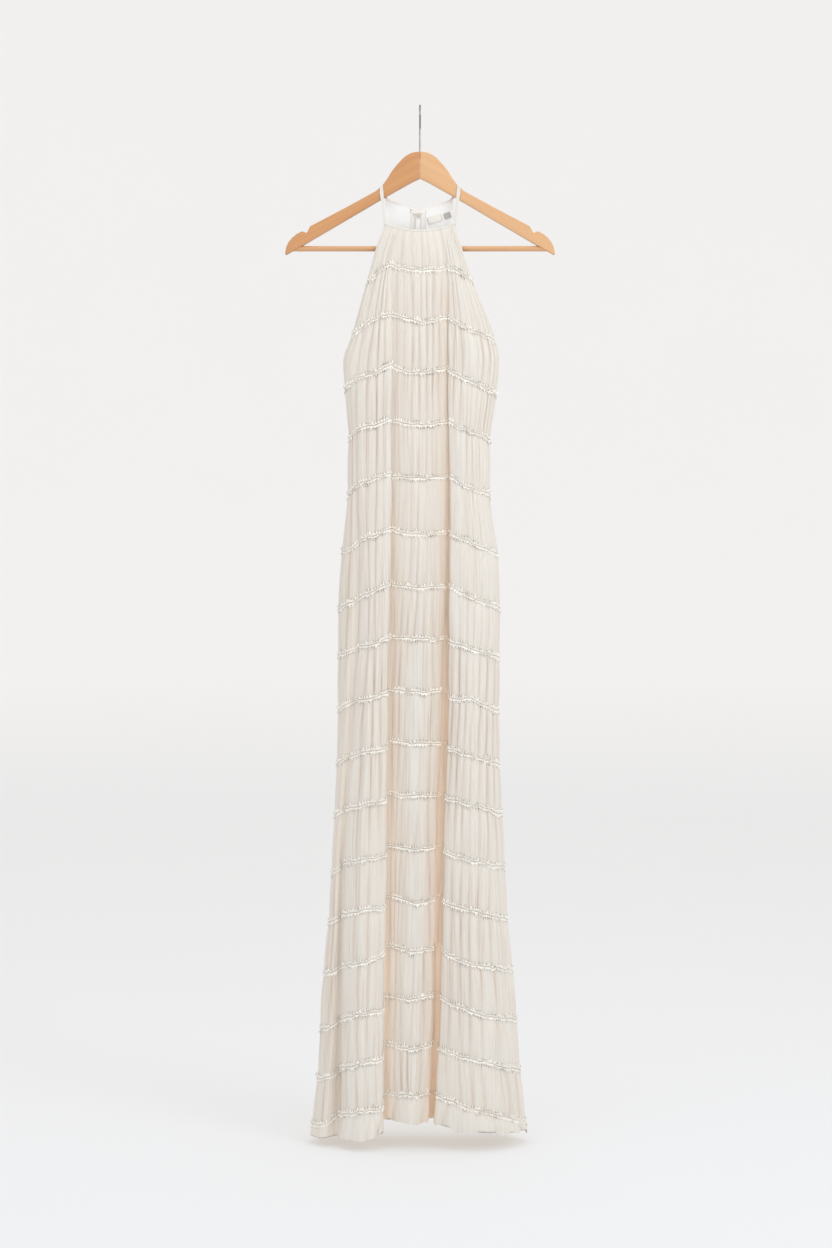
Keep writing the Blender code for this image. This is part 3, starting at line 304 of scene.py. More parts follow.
def curve(z, values):
    """A smooth function through a column of values that never overshoots them."""
    step = np.diff(z)
    rise = np.diff(values) / step
    slopes = np.zeros_like(values)
    for k in range(1, len(values) - 1):
        if rise[k - 1] * rise[k] > 0.0:
            near = 2.0 * step[k] + step[k - 1]
            far = step[k] + 2.0 * step[k - 1]
            slopes[k] = (near + far) / (near / rise[k - 1] + far / rise[k])
    slopes[0], slopes[-1] = rise[0], rise[-1]

    def at(height):
        height = np.clip(height, z[0], z[-1])
        k = np.clip(np.searchsorted(z, height) - 1, 0, len(step) - 1)
        t = (height - z[k]) / step[k]
        t2, t3 = t * t, t * t * t
        return (values[k] * (2 * t3 - 3 * t2 + 1) + values[k + 1] * (3 * t2 - 2 * t3)
                + step[k] * (slopes[k] * (t3 - 2 * t2 + t) + slopes[k + 1] * (t3 - t2)))
    return at


def table_curves(table):
    """One smooth function of height for each column of a table."""
    rows = np.array(table, float)[::-1]
    return [curve(rows[:, 0], rows[:, k]) for k in range(1, rows.shape[1])]


SIDE_CURVES = table_curves(SIDES)
ARMHOLE_CURVES = table_curves(ARMHOLE)
FRONT_CURVES = table_curves(FRONT)
BACK_CURVES = table_curves(BACK)


def front_stations(z):
    """The front's stations at heights z, left to right."""
    left, right = (c(z) for c in SIDE_CURVES)
    side_y = -ARMHOLE_CURVES[0](z)
    depth, flank_x, flank_in, left_x, left_in, right_x, right_in, boxed = (c(z) for c in FRONT_CURVES)

    def out(loose, drawn):
        return mix(side_y, -depth, mix(loose, drawn, boxed))

    middle = right_x - left_x
    places = [
        (left, side_y),
        (mix(left, flank_x, 0.45), out(0.45, 0.52)),
        (flank_x, -depth + flank_in),
        (mix(flank_x, left_x, 0.15), out(0.76, 0.75)),
        (mix(flank_x, left_x, 0.55), out(0.93, 1.0)),
        (left_x, out(0.98, 0.86)),
        (left_x + FOLD_SOFT_EDGE - FRONT_FOLD_LEAN * boxed * left_in, -depth + left_in),
        (left_x + 0.2 * middle, out(0.97, 0.68)),
        (left_x + 0.52 * middle, out(1.0, 0.85)),
        (right_x - mix(0.19, 0.205, boxed) * middle, out(0.97, 0.82)),
        (right_x - mix(7.0, 16.5, boxed), -depth + mix(0.95, 0.72, boxed) * right_in),
        (right_x - mix(FOLD_SOFT_EDGE, 1.5, boxed), -depth + mix(0.9, 0.62, boxed) * right_in),
        (right_x, out(0.96, 0.8)),
        (mix(right_x, right, 0.42), out(0.9, 1.0)),
        (mix(right_x, right, 0.8), out(0.58, 0.62)),
        (right, side_y),
    ]
    return np.stack([np.stack(place, -1) for place in places], -2)


def back_stations(z):
    """The back's stations at heights z, right to left as seen from the front."""
    left, right = (c(z) for c in SIDE_CURVES)
    side_y, inset = ARMHOLE_CURVES[1](z), ARMHOLE_CURVES[2](z)
    left = left + inset
    right = right - inset
    depth, right_x, right_in, left_x, left_in, boxed = (c(z) for c in BACK_CURVES)

    def out(loose, drawn):
        return mix(side_y, depth, mix(loose, drawn, boxed))

    centre = np.full_like(left, CENTRE_BACK_X)
    places = [
        (right, side_y),
        (mix(right, right_x, 0.28), out(0.6, 0.7)),
        (mix(right, right_x, 0.6), out(0.86, 1.0)),
        (right_x, out(0.97, 0.84)),
        (right_x + FOLD_LEAN * right_in, depth - right_in),
        (mix(right_x, centre, 0.42), out(0.98, 0.74)),
        (centre, out(1.0, 0.8)),
        (mix(left_x, centre, 0.42), out(0.98, 0.74)),
        (left_x - FOLD_LEAN * left_in, depth - left_in),
        (left_x, out(0.97, 0.84)),
        (mix(left, left_x, 0.6), out(0.86, 1.0)),
        (mix(left, left_x, 0.28), out(0.6, 0.7)),
        (left, side_y),
    ]
    return np.stack([np.stack(place, -1) for place in places], -2)


def station_weights(u, count):
    """How much of each station goes into each column, for a smooth curve through the stations."""
    first = np.minimum(u.astype(int), count - 2)
    t = u - first
    t2, t3 = t * t, t * t * t
    terms = (-0.5 * t3 + t2 - 0.5 * t, 1.5 * t3 - 2.5 * t2 + 1.0,
             -1.5 * t3 + 2.0 * t2 + 0.5 * t, 0.5 * t3 - 0.5 * t2)
    weights = np.zeros((len(u), count))
    for offset, term in zip((-1, 0, 1, 2), terms):
        np.add.at(weights, (np.arange(len(u)), np.clip(first + offset, 0, count - 1)), term)
    return weights


def even_columns(shape, count, columns):
    """Places among the stations that lie evenly along the cloth, on average over its height."""
    fine = np.linspace(0.0, count - 1.0, 1500)
    weights = station_weights(fine, count)
    total = np.zeros(len(fine))
    for z in (-560.0, -1000.0, -1500.0):
        row = weights @ shape(np.array(z))
        run = run_along(row)
        total += run / run[-1]
    total /= total[-1]
    return np.interp(np.linspace(0.0, 1.0, columns + 1), total, fine)


def run_along(points):
    """Distance of each point along its row."""
    return np.concatenate([[0.0], np.cumsum(np.linalg.norm(np.diff(points, axis=0), axis=1))])


def streaks(s, t, width, length, seed):
    """Smooth random values from -1 to 1 over a row and down a tier, in cells of the given size."""
    a = s / width
    b = t / length
    cells = np.random.default_rng(seed).uniform(-1.0, 1.0, (int(a.max()) + 3, int(b.max()) + 3))
    i, j = np.floor(a).astype(int), np.floor(b).astype(int)
    fa, fb = smooth(a - i), smooth(b - j)
    return mix(mix(cells[i, j], cells[i + 1, j], fa), mix(cells[i, j + 1], cells[i + 1, j + 1], fa), fb)


def gathers(s, t, pitch, seed):
    """Rounded ridges with narrow valleys between, uneven in width and depth: 1 on a ridge, down to 0."""
    close = streaks(s, t, 1.2 * pitch, 0.7, seed + 1)
    wander = pitch * (streaks(s, t, 2.9 * pitch, 2.6, seed) + 0.22 * close)
    ridge = np.abs(np.sin(np.pi * (s + wander) / pitch)) ** 0.65
    strength = np.clip(0.5 + 0.62 * streaks(s, t, 1.9 * pitch, 0.8, seed + 2), 0.04, 1.0)
    return 1.0 - strength * (1.0 - ridge)


class Side:
    """Fine grid of one side of the dress: points, outward directions, and what the materials read."""

    def __init__(self, stations, shape, neck, columns, seed):
        self.stations = stations
        count = len(stations)
        self.u = even_columns(shape, count, columns)
        self.weights = station_weights(self.u, count)
        names = [s[0] for s in stations]
        self.puff = np.clip(self.weights @ np.array([s[1] for s in stations]), 0.0, 1.0)
        self.fold = np.clip(self.weights @ np.array([s[2] for s in stations]), 0.0, 1.0)
        self.middle = names.index("centre_back") if "centre_back" in names else None
        heights = [neck(self)]
        for level in LEVELS:
            heights.append(self.level_heights(level))
        self.row_of = {}
        rows, shares, tiers = [], [], []
        for tier in range(len(heights) - 1):
            self.row_of[LEVELS[tier - 1][0] if tier else "neck"] = len(rows)
            for share in TIER_STEPS:
                rows.append(mix(heights[tier], heights[tier + 1], share))
                shares.append(share)
                tiers.append(tier)
        self.row_of["hem"] = len(rows)
        rows.append(heights[-1])
        shares.append(1.0)
        tiers.append(len(heights) - 2)
        self.z = np.array(rows)
        self.shares = np.array(shares)
        self.tiers = np.array(tiers)
        self.flat = np.einsum("rcsk,cs->rck", shape(self.z), self.weights)
        along = np.gradient(self.flat, axis=1)
        along /= np.linalg.norm(along, axis=2, keepdims=True)
        self.out = np.stack([along[..., 1], -along[..., 0]], -1)
        self.lift = np.zeros_like(self.z)
        self.arc = np.zeros_like(self.z)
        self.dip = np.zeros_like(self.z)
        self.gather(seed)
        hem = self.row_of["hem"]
        flat = np.zeros(columns + 1)
        for step, (height, pitch) in enumerate(HEM_WAVES, 90):
            self.z[hem] += height * streaks(self.arc[hem], flat, pitch, 1.0, seed + step)
        xy = self.flat + self.out * self.lift[..., None]
        self.points = np.dstack([xy, self.z])

    def level_heights(self, level):
        """Height of each column along one level."""
        table = np.array([[s[3].get(column, 0.0) for column in LEVEL_COLUMNS] for s in self.stations])
        drops = np.array(level[2:], float)
        drops[-1] *= -1.0
        return level[1] - self.weights @ (table @ drops)

    def gather(self, seed):
        """Lift the cloth into gathers, tier by tier, drawn down where the rows are sewn."""
        hem_tier = self.tiers.max()
        place = np.linspace(0.0, PLEATS * PLEAT_PITCH, self.z.shape[1])
        for tier in range(hem_tier + 1):
            rows = np.flatnonzero(self.tiers == tier)
            middle = rows[len(rows) // 2]
            arc = run_along(self.flat[middle])
            s = np.broadcast_to(arc + 400.0, (len(rows), len(arc)))
            t = np.broadcast_to(self.shares[rows][:, None] + 4.0, s.shape)
            share = self.shares[rows][:, None]
            drawn = ease(np.minimum(share, 1.0 - share) / DRAWN_SHARE)
            soft = YOKE_SOFTNESS[tier] if tier < len(YOKE_SOFTNESS) else 1.0
            base = seed + 10 * tier
            down = -self.z[rows] / PLEAT_RUN + 0.35 * t
            along = np.broadcast_to(place + 400.0, s.shape)
            fine = gathers(s, t, FINE_PITCH, base)
            medium = gathers(s, t, MEDIUM_PITCH / soft ** 0.5, base + 3)
            pleats = gathers(along, down, PLEAT_PITCH, seed + 500)
            pleat_height = PLEAT_HEIGHT * soft * (0.45 + 0.55 * drawn)
            if tier == hem_tier:
                drawn = ease(share / HEM_DRAWN_SHARE)
                soft = mix(0.8, 0.3, drawn)
                pleats = gathers(s, t, HEM_PITCH, base + 6)
                pleat_height = HEM_HEIGHT * (0.25 + 0.75 * share)
            broad = streaks(s, t, BROAD_PITCH * 0.5, 1.4, base + 8)
            lift = (BROAD_HEIGHT * broad * soft * (0.3 + 0.7 * drawn)
                    + FINE_HEIGHT * (fine - 0.6) * (0.6 + 0.4 * drawn) * soft ** 3
                    + MEDIUM_HEIGHT * (medium - 0.55) * (0.3 + 0.7 * drawn) * soft
                    + pleat_height * (pleats - 0.6)
                    + PUFF_HEIGHT * np.sin(np.pi * np.minimum(share, 0.999)) ** 0.8)
            # Painted shade in the valleys of the pleats and gathers, kept as the dip value.
            valleys = [(1.0 - ridge) ** 1.3 * part for ridge, part in zip((pleats, medium, fine), DIP_SHARES)]
            self.dip[rows] = np.clip(sum(valleys) * soft, 0.0, 1.0)
            edge = ease(np.minimum(arc, arc[-1] - arc) / EDGE_TAPER)
            self.lift[rows] = lift * (0.25 + 0.75 * self.puff) * edge
            self.arc[rows] = arc

    def fold_depth(self):
        """Shading of the deep folds, which grows down the dress."""
        share = np.clip((FOLD_TOP_Z - self.z) / (FOLD_TOP_Z - FOLD_FULL_Z), 0.0, 1.0)
        return self.fold * share ** 0.7

    def recess(self):
        """How far the deep folds lie behind the foremost cloth of their row."""
        reach = np.abs(self.flat[..., 1])
        behind = reach.max(axis=1, keepdims=True) - reach
        inness = ease((behind - RECESS_START) / RECESS_RUN)
        return inness * np.clip(RECESS_GAIN * self.fold_depth(), 0.0, 1.0)

    def row(self, name):
        """Points and outward directions along one level, and room for a trim with the folds' shading."""
        index = self.row_of[name]
        return self.points[index], self.out[index], np.stack([self.puff, self.fold_depth()[index]], -1)


def front_neck(side):
    """Height of the front neckline for each column."""
    x = (side.weights @ front_stations(np.array(FRONT_NECK_CORNER_Z)))[:, 0]
    return mix(FRONT_NECK_MIDDLE_Z, FRONT_NECK_CORNER_Z, np.abs(x / np.abs(x).max()) ** 2.0)


def back_neck(side):
    """Height of the back's V neckline for each column."""
    x = (side.weights @ back_stations(np.array(BACK_NECK_CORNER_Z)))[:, 0]
    return mix(BACK_NECK_MIDDLE_Z, BACK_NECK_CORNER_Z, np.abs(x / np.abs(x).max()) ** 1.15)


def grid_faces(rows, columns, first=0, closed=False):
    """Quads of a grid of points, as rows of four indices."""
    index = np.arange(rows * columns).reshape(rows, columns) + first
    if closed:
        index = np.hstack([index, index[:, :1]])
    a, b = index[:-1, :-1], index[1:, :-1]
    c, d = index[1:, 1:], index[:-1, 1:]
    return np.stack([a, b, c, d], -1).reshape(-1, 4)


def add_object(name, data):
    """A new object in the scene."""
    made = bpy.data.objects.new(name, data)
    bpy.context.scene.collection.objects.link(made)
    return made


def new_mesh(name, points, faces, material):
    """A smooth mesh from points in millimetres."""
    mesh = bpy.data.meshes.new(name)
    mesh.from_pydata((np.asarray(points) * MM).tolist(), [], np.asarray(faces).tolist()
                     if isinstance(faces, np.ndarray) else faces)
    mesh.shade_smooth()
    mesh.materials.append(material)
    return mesh


def stand_for(piece, slot, *nodes):
    """The piece takes the place of the named nodes; the slot argument is not used."""
    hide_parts(*nodes)
    return piece


def new_piece(name, points, faces, material, values=None):
    """A mesh object in metres that rides on the model, with the values its material reads."""
    mesh = new_mesh(name, points, faces, material)
    for key, data in (values or {}).items():
        layer = mesh.attributes.new(key, "FLOAT", "POINT")
        layer.data.foreach_set("value", np.asarray(data, np.float32).ravel())
    piece = add_object(name, mesh)
    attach(piece, "root")
    return piece


def node_material(name, roughness, metallic=0.0, sheen=0.0, coat=0.0):
    """A Principled material and helpers for its nodes."""
    material = bpy.data.materials.new(name)
    material.use_nodes = True
    tree = material.node_tree
    shader = tree.nodes["Principled BSDF"]
    shader.inputs["Roughness"].default_value = roughness
    shader.inputs["Metallic"].default_value = metallic
    shader.inputs["Sheen Weight"].default_value = sheen
    shader.inputs["Coat Weight"].default_value = coat
    return material, tree, shader


def add_node(tree, kind, **sockets):
    """A node with plain values set on its sockets; attributes start with an underscore."""
    node = tree.nodes.new(kind)
    for key, value in sockets.items():
        if key.startswith("_"):
            setattr(node, key[1:], value)
        else:
            node.inputs[key.replace("_", " ")].default_value = value
    return node


def colour_mix(tree, factor, low, high):
    """Mix two colours, or colour outputs, by a factor output."""
    node = tree.nodes.new("ShaderNodeMix")
    node.data_type = "RGBA"
    for socket, value in ((node.inputs[0], factor), (node.inputs[6], low), (node.inputs[7], high)):
        if isinstance(value, bpy.types.NodeSocket):
            tree.links.new(value, socket)
        else:
            socket.default_value = (*value, 1.0)
    return node.outputs[2]


def stretched_noise(tree, scale, detail=2.0):
    """Noise in the object's own frame, scaled for each axis."""
    place = tree.nodes.new("ShaderNodeTexCoord")
    mapping = add_node(tree, "ShaderNodeMapping", Scale=scale)
    noise = add_node(tree, "ShaderNodeTexNoise", Scale=1.0, Detail=detail)
    tree.links.new(place.outputs["Object"], mapping.inputs["Vector"])
    tree.links.new(mapping.outputs["Vector"], noise.inputs["Vector"])
    return noise.outputs["Fac"]


def spread_range(tree, value, low, high):
    """Stretch a value so that low becomes 0 and high becomes 1."""
    node = add_node(tree, "ShaderNodeMapRange")
    node.inputs["From Min"].default_value = low
    node.inputs["From Max"].default_value = high
    tree.links.new(value, node.inputs["Value"])
    return node.outputs["Result"]


def add_bump(tree, shader, height, strength, distance):
    """Bump from a height output."""
    node = add_node(tree, "ShaderNodeBump", Strength=strength, Distance=distance)
    tree.links.new(height, node.inputs["Height"])
    tree.links.new(node.outputs["Normal"], shader.inputs["Normal"])


def weave_height(tree):
    """Crossing threads of a plain weave, from two waves."""
    place = tree.nodes.new("ShaderNodeTexCoord")
    scale = math.tau / WEAVE_PITCH / 20.0
    total = None
    for direction in ("X", "Z"):
        wave = add_node(tree, "ShaderNodeTexWave", _bands_direction=direction, Scale=scale, Distortion=0.6)
        tree.links.new(place.outputs["Object"], wave.inputs["Vector"])
        if total is None:
            total = wave.outputs["Fac"]
            continue
        add = add_node(tree, "ShaderNodeMath", _operation="ADD")
        tree.links.new(total, add.inputs[0])
        tree.links.new(wave.outputs["Fac"], add.inputs[1])
        total = add.outputs[0]
    return total


def chiffon_material(name, light, tan, glow, rich, valley):
    """Sheer crinkled cloth with fine upright gathers and a plain weave, with painted light and shade: a
    painted warm shade in the folds, partly the denser colour of cloth lying in layers, a painted glow deep in
    their recesses and painted shade in the gathers' valleys.
    """
    material, tree, shader = node_material(name, 0.85, sheen=0.12)
    streak = spread_range(tree, stretched_noise(tree, (420.0, 420.0, 7.0)), 0.3, 0.75)
    broad = spread_range(tree, stretched_noise(tree, (45.0, 45.0, 4.0)), 0.25, 0.75)
    deeper = tuple(mix(a, b, 0.3) for a, b in zip(light, valley))
    rosy = (light[0] * 0.995, light[1] * 0.96, light[2] * 0.935)
    softened = colour_mix(tree, broad, rosy, light)
    base = colour_mix(tree, streak, deeper, softened)
    # Painted warm shade in the folds, partly the denser colour of cloth lying in layers, read from the fold
    # value.
    fold = add_node(tree, "ShaderNodeAttribute", _attribute_name="fold")
    tanned = colour_mix(tree, spread_range(tree, fold.outputs["Fac"], 0.0, 0.6), base, tan)
    # Painted glow fills the deepest recesses of the folds, standing in for light through the sheer cloth.
    glowing = colour_mix(tree, fold.outputs["Fac"], glow, rich)
    recess = add_node(tree, "ShaderNodeAttribute", _attribute_name="recess")
    folded = colour_mix(tree, recess.outputs["Fac"], tanned, glowing)
    # Painted shade in the valleys of the pleats and gathers.
    dip = add_node(tree, "ShaderNodeAttribute", _attribute_name="dip")
    coloured = colour_mix(tree, dip.outputs["Fac"], folded, valley)
    tree.links.new(coloured, shader.inputs["Base Color"])
    add_bump(tree, shader, weave_height(tree), 0.25, 0.0002)
    return material


def ruffle_material(shade, cloth, highlight_colour, tan):
    """Frayed ruffle cloth with a random mottle: painted shade where it is pressed down, a painted highlight
    where each frill bulges out and on its loose threads, and painted warm shade in the dress's folds.
    """
    material, tree, shader = node_material("frayed_ruffle", 0.9, sheen=0.15)
    mottle = spread_range(tree, stretched_noise(tree, (520.0, 520.0, 520.0), 3.0), 0.35, 0.65)
    base = colour_mix(tree, mottle, shade, cloth)
    # The edge value carries the painted highlight and the painted shade of pressed cloth.
    edge = add_node(tree, "ShaderNodeAttribute", _attribute_name="edge")
    # Painted warm shade where the trim crosses the dress's folds.
    fold = add_node(tree, "ShaderNodeAttribute", _attribute_name="fold")
    pale = colour_mix(tree, edge.outputs["Fac"], base, highlight_colour)
    tree.links.new(colour_mix(tree, fold.outputs["Fac"], pale, tan), shader.inputs["Base Color"])
    add_bump(tree, shader, mottle, 0.3, 0.0003)
    return material


def plain_cloth(name, low, high, roughness):
    """Smooth cloth with a soft mottle and a plain weave."""
    material, tree, shader = node_material(name, roughness, sheen=0.1)
    mottle = spread_range(tree, stretched_noise(tree, (90.0, 90.0, 40.0), 3.0), 0.3, 0.7)
    tree.links.new(colour_mix(tree, mottle, low, high), shader.inputs["Base Color"])
    add_bump(tree, shader, weave_height(tree), 0.3, 0.0002)
    return material


def wood_material(name, low, high, tilt):
    """Sanded and varnished beech: soft grain along the arm, with short flecks."""
    material, tree, shader = node_material(name, 0.42, coat=0.25)
    place = tree.nodes.new("ShaderNodeTexCoord")
    turn = add_node(tree, "ShaderNodeMapping", Rotation=(0.0, tilt, 0.0))
    tree.links.new(place.outputs["Object"], turn.inputs["Vector"])
    factors = []
    for scale, detail, distortion in (((2.5, 60.0, 90.0), 3.0, 0.5), ((18.0, 600.0, 600.0), 2.0, 0.1)):
        stretch = add_node(tree, "ShaderNodeMapping", Scale=scale)
        noise = add_node(tree, "ShaderNodeTexNoise", Scale=1.0, Detail=detail, Distortion=distortion)
        tree.links.new(turn.outputs["Vector"], stretch.inputs["Vector"])
        tree.links.new(stretch.outputs["Vector"], noise.inputs["Vector"])
        factors.append(noise.outputs["Fac"])
    grain = colour_mix(tree, spread_range(tree, factors[0], 0.3, 0.7), low, high)
    fleck = colour_mix(tree, spread_range(tree, factors[1], 0.52, 0.8), grain, low)
    tree.links.new(fleck, shader.inputs["Base Color"])
    rough = spread_range(tree, factors[1], 0.2, 0.8)
    range_node = add_node(tree, "ShaderNodeMapRange", To_Min=0.36, To_Max=0.5)
    tree.links.new(rough, range_node.inputs["Value"])
    tree.links.new(range_node.outputs["Result"], shader.inputs["Roughness"])
    add_bump(tree, shader, factors[1], 0.12, 0.0002)
    return material


def metal_material(name, low, high, roughness):
    """Metal with faint drawing marks."""
    material, tree, shader = node_material(name, roughness, metallic=1.0)
    marks = spread_range(tree, stretched_noise(tree, (900.0, 900.0, 60.0)), 0.3, 0.7)
    tree.links.new(colour_mix(tree, marks, low, high), shader.inputs["Base Color"])
    add_bump(tree, shader, marks, 0.1, 0.0001)
    return material


def make_materials():
    """All the finishes of the object."""
    cloths = [
        # key, name, darker, lighter, roughness
        ("binding", "rolled_binding", (0.72, 0.69, 0.64), (0.785, 0.76, 0.715), 0.8),
        # The back neck's binding is the rolled binding's cloth painted paler: painted light over the shade
        # inside the back of the neck.
        ("painted_light_binding", "painted_light_binding", (0.85, 0.83, 0.79), (0.91, 0.895, 0.86), 0.8),
        ("lining", "white_facing", (0.885, 0.895, 0.90), (0.92, 0.93, 0.935), 0.8),
        ("tape", "zip_tape", (0.82, 0.795, 0.745), (0.87, 0.85, 0.81), 0.8),
        ("coil", "zip_coil", (0.84, 0.84, 0.82), (0.93, 0.93, 0.92), 0.45),
        ("label", "woven_label", (0.79, 0.775, 0.73), (0.86, 0.845, 0.81), 0.6),
        ("tab", "size_tab_cloth", (0.40, 0.38, 0.36), (0.50, 0.48, 0.46), 0.6),
        ("thread", "sewing_thread", (0.42, 0.37, 0.31), (0.52, 0.47, 0.40), 0.8),
        ("coated", "coated_wire", (0.74, 0.70, 0.61), (0.84, 0.80, 0.72), 0.4),
    ]
    # The two arms are one beech: the left arm's colours are painted darker and the right arm's lighter,
    # painted shade and painted light for the lamps on the right.
    woods = [
        # key, name, darker, lighter, tilt of the grain in degrees
        ("wood_left", "beech_left_painted_shade", (0.53, 0.25, 0.098), (0.63, 0.315, 0.132), 29.0),
        ("wood_right", "beech_right_painted_light", (0.68, 0.39, 0.19), (0.76, 0.465, 0.245), -29.0),
        ("wood_bar", "beech_bar", (0.60, 0.32, 0.145), (0.70, 0.40, 0.20), 0.0),
    ]
    made = {
        # Chiffon: open cloth, painted warm fold shade, painted glow for shallow and deep recesses, painted
        # valley shade; ruffle: two mottle tones, painted highlight and painted warm fold shade.
        "chiffon": chiffon_material("gathered_chiffon", (0.80, 0.793, 0.749), (0.665, 0.55, 0.44),
                                    (0.88, 0.79, 0.69), (0.92, 0.715, 0.54), (0.60, 0.48, 0.39)),
        "ruffle": ruffle_material((0.88, 0.84, 0.77), (0.92, 0.89, 0.83), (0.945, 0.925, 0.88),
                                  (0.94, 0.80, 0.64)),
        "steel": metal_material("bright_wire", (0.22, 0.21, 0.205), (0.34, 0.325, 0.315), 0.35),
    }
    for key, name, low, high, roughness in cloths:
        made[key] = plain_cloth(name, low, high, roughness)
    for key, name, low, high, tilt in woods:
        made[key] = wood_material(name, low, high, math.radians(tilt))
    return made


def panel_piece(name, side, columns, material, node):
    """One panel of the dress from a range of columns, with its rolled hem."""
    points = side.points[:, columns]
    out = side.out[:, columns]
    hem = points[-1]
    turned, raised = (np.hstack([hem[:, :2] - out[-1] * HEM_TURN, hem[:, 2:] + rise]) for rise in HEM_RISES)
    near = mix(hem, points[-2], HEM_SUPPORT)
    grid = np.concatenate([points[:-1], near[None], hem[None], turned[None], raised[None]])
    values = {}
    # The cloth's material paints warm shade by fold, glow by recess and valley shade by dip.
    for key, grid_values in (("fold", side.fold_depth()), ("recess", side.recess()), ("dip", side.dip)):
        part = grid_values[:, columns]
        values[key] = np.vstack([part] + [part[-1:]] * 3)
    rows, count = grid.shape[:2]
    piece = new_piece(name, grid.reshape(-1, 3), grid_faces(rows, count), material, values)
    return stand_for(piece, "chiffon", node)


def resample(points, out, step, closed):
    """Even steps along a row: points, outward directions, tangents and the run along it."""
    if closed:
        points = np.vstack([points, points[:1]])
        out = np.vstack([out, out[:1]])
    run = run_along(points)
    count = max(int(run[-1] / step), 8)
    at = np.linspace(0.0, run[-1], count + 1)
    if closed:
        at = at[:-1]
    placed = np.stack([np.interp(at, run, points[:, k]) for k in range(3)], -1)
    facing = np.stack([np.interp(at, run, out[:, k]) for k in range(2)], -1)
    kernel = np.ones(5) / 5.0
    padded = np.pad(facing, ((2, 2), (0, 0)), "wrap" if closed else "edge")
    facing = np.stack([np.convolve(padded[:, k], kernel, "valid") for k in range(2)], -1)
    facing /= np.linalg.norm(facing, axis=1, keepdims=True)
    tangent = np.stack([-facing[:, 1], facing[:, 0]], -1)
    return placed, facing, tangent, at


def trim_piece(name, points, out, marks, closed, seed, material):
    """A gathered strip sewn along its middle: two frayed frills and loose threads."""
    placed, facing, tangent, run = resample(points, out, FRILL_STEP, closed)
    if closed:
        points, marks = np.vstack([points, points[:1]]), np.vstack([marks, marks[:1]])
    room, fold = (np.interp(run, run_along(points), column) for column in marks.T)
    room = 0.4 + 0.6 * room
    rng = np.random.default_rng(seed)

    def noise(cell, step):
        return streaks(run, np.zeros(len(run)), cell, 1.0, seed + step)

    wander_z = 2.2 * noise(28.0, 0) + 1.5 * noise(8.0, 1)
    ends = np.ones(len(run)) if closed else ease(np.minimum(run, run[-1] - run) / FRILL_TAPER)
    all_points, all_faces, edges, folds = [], [], [], []
    first = 0
    for sign, offset in ((1.0, 2), (-1.0, 5)):
        warp = (0.5 * FRILL_PITCH * noise(2.3 * FRILL_PITCH, offset)
                + 0.22 * FRILL_PITCH * noise(0.9 * FRILL_PITCH, offset + 1))
        phase = math.tau * (run + warp) / FRILL_PITCH
        uneven = 1.0 + 0.32 * noise(4.0, offset + 2)
        strength = 0.75 + 0.45 * noise(8.0, offset + 3)
        drift = 1.5 * noise(10.0, offset + 4)
        tuft = TUFT_REACH * np.clip(noise(7.0, offset + 5), 0.0, 1.0) ** 2
        crimp = np.sin(phase)
        pressed = ease(0.5 - 0.5 * crimp * np.minimum(strength, 1.0))
        for share in FRILL_SHARES:
            bulge = math.sin(math.pi * (0.08 + 0.82 * share))
            lump = FRILL_REACH + FRILL_WAVE * crimp * strength + tuft * share
            away = FRILL_SEAT + room * bulge * lump * ends * (1.0 - 0.7 * fold)
            sideways = FRILL_LOOP * share * np.cos(phase) * strength * ends * room
            height = FRILL_HEIGHT * share * uneven * (0.8 + 0.36 * crimp * strength) + drift * share
            height = (FRILL_PART + height) * (1.0 - 0.7 * fold)
            row = np.empty((len(run), 3))
            row[:, :2] = placed[:, :2] + facing * away[:, None] + tangent * sideways[:, None]
            row[:, 2] = placed[:, 2] + wander_z + sign * height
            row += rng.normal(0.0, FRILL_JITTER * bulge, row.shape)
            all_points.append(row)
            # The edge value is a painted highlight, strongest where the frill bulges out, and dimmed as
            # painted shade where it is pressed down.
            edges.append(bulge * (1.0 - PRESSED_SHADE * pressed))
            folds.append(fold)
        low = crimp < FRILL_GAP
        low_pair = low & np.roll(low, -1)
        quads = grid_faces(len(FRILL_SHARES), len(run), first, closed).reshape(len(FRILL_SHARES) - 1, -1, 4)
        keep = np.ones(quads.shape[:2], bool)
        keep[-1] = ~low_pair[:quads.shape[1]]
        all_faces.append(quads[keep])
        first += len(FRILL_SHARES) * len(run)
        edge_row, below_row = all_points[-1], all_points[-2]
        count = int(run[-1] / FRAY_EVERY)
        pick = rng.choice(np.flatnonzero(~low), count)
        base = edge_row[pick]
        direction = edge_row[pick] - below_row[pick]
        direction /= np.linalg.norm(direction, axis=1, keepdims=True)
        direction += rng.normal(0.0, 0.55, (count, 3))
        direction /= np.linalg.norm(direction, axis=1, keepdims=True)
        length = rng.uniform(*FRAY_LENGTH, count)[:, None]
        across = np.zeros((count, 3))
        across[:, :2] = tangent[pick] * FRAY_WIDTH * 0.5
        tips = base + direction * length
        all_points += [base - across, base + across, tips]
        index = np.arange(count) + first
        all_faces.append(np.stack([index, index + count, index + 2 * count], -1))
        # Loose threads take the full painted highlight.
        edges.append(np.ones(3 * count))
        folds.append(np.tile(fold[pick], 3))
        first += 3 * count
    vertices = np.concatenate(all_points)
    faces = [face for group in all_faces for face in group.tolist()]
    values = {"edge": np.concatenate(edges), "fold": np.concatenate(folds)}
    return stand_for(new_piece(name + "_frill", vertices, faces, material, values), "ruffle", name)


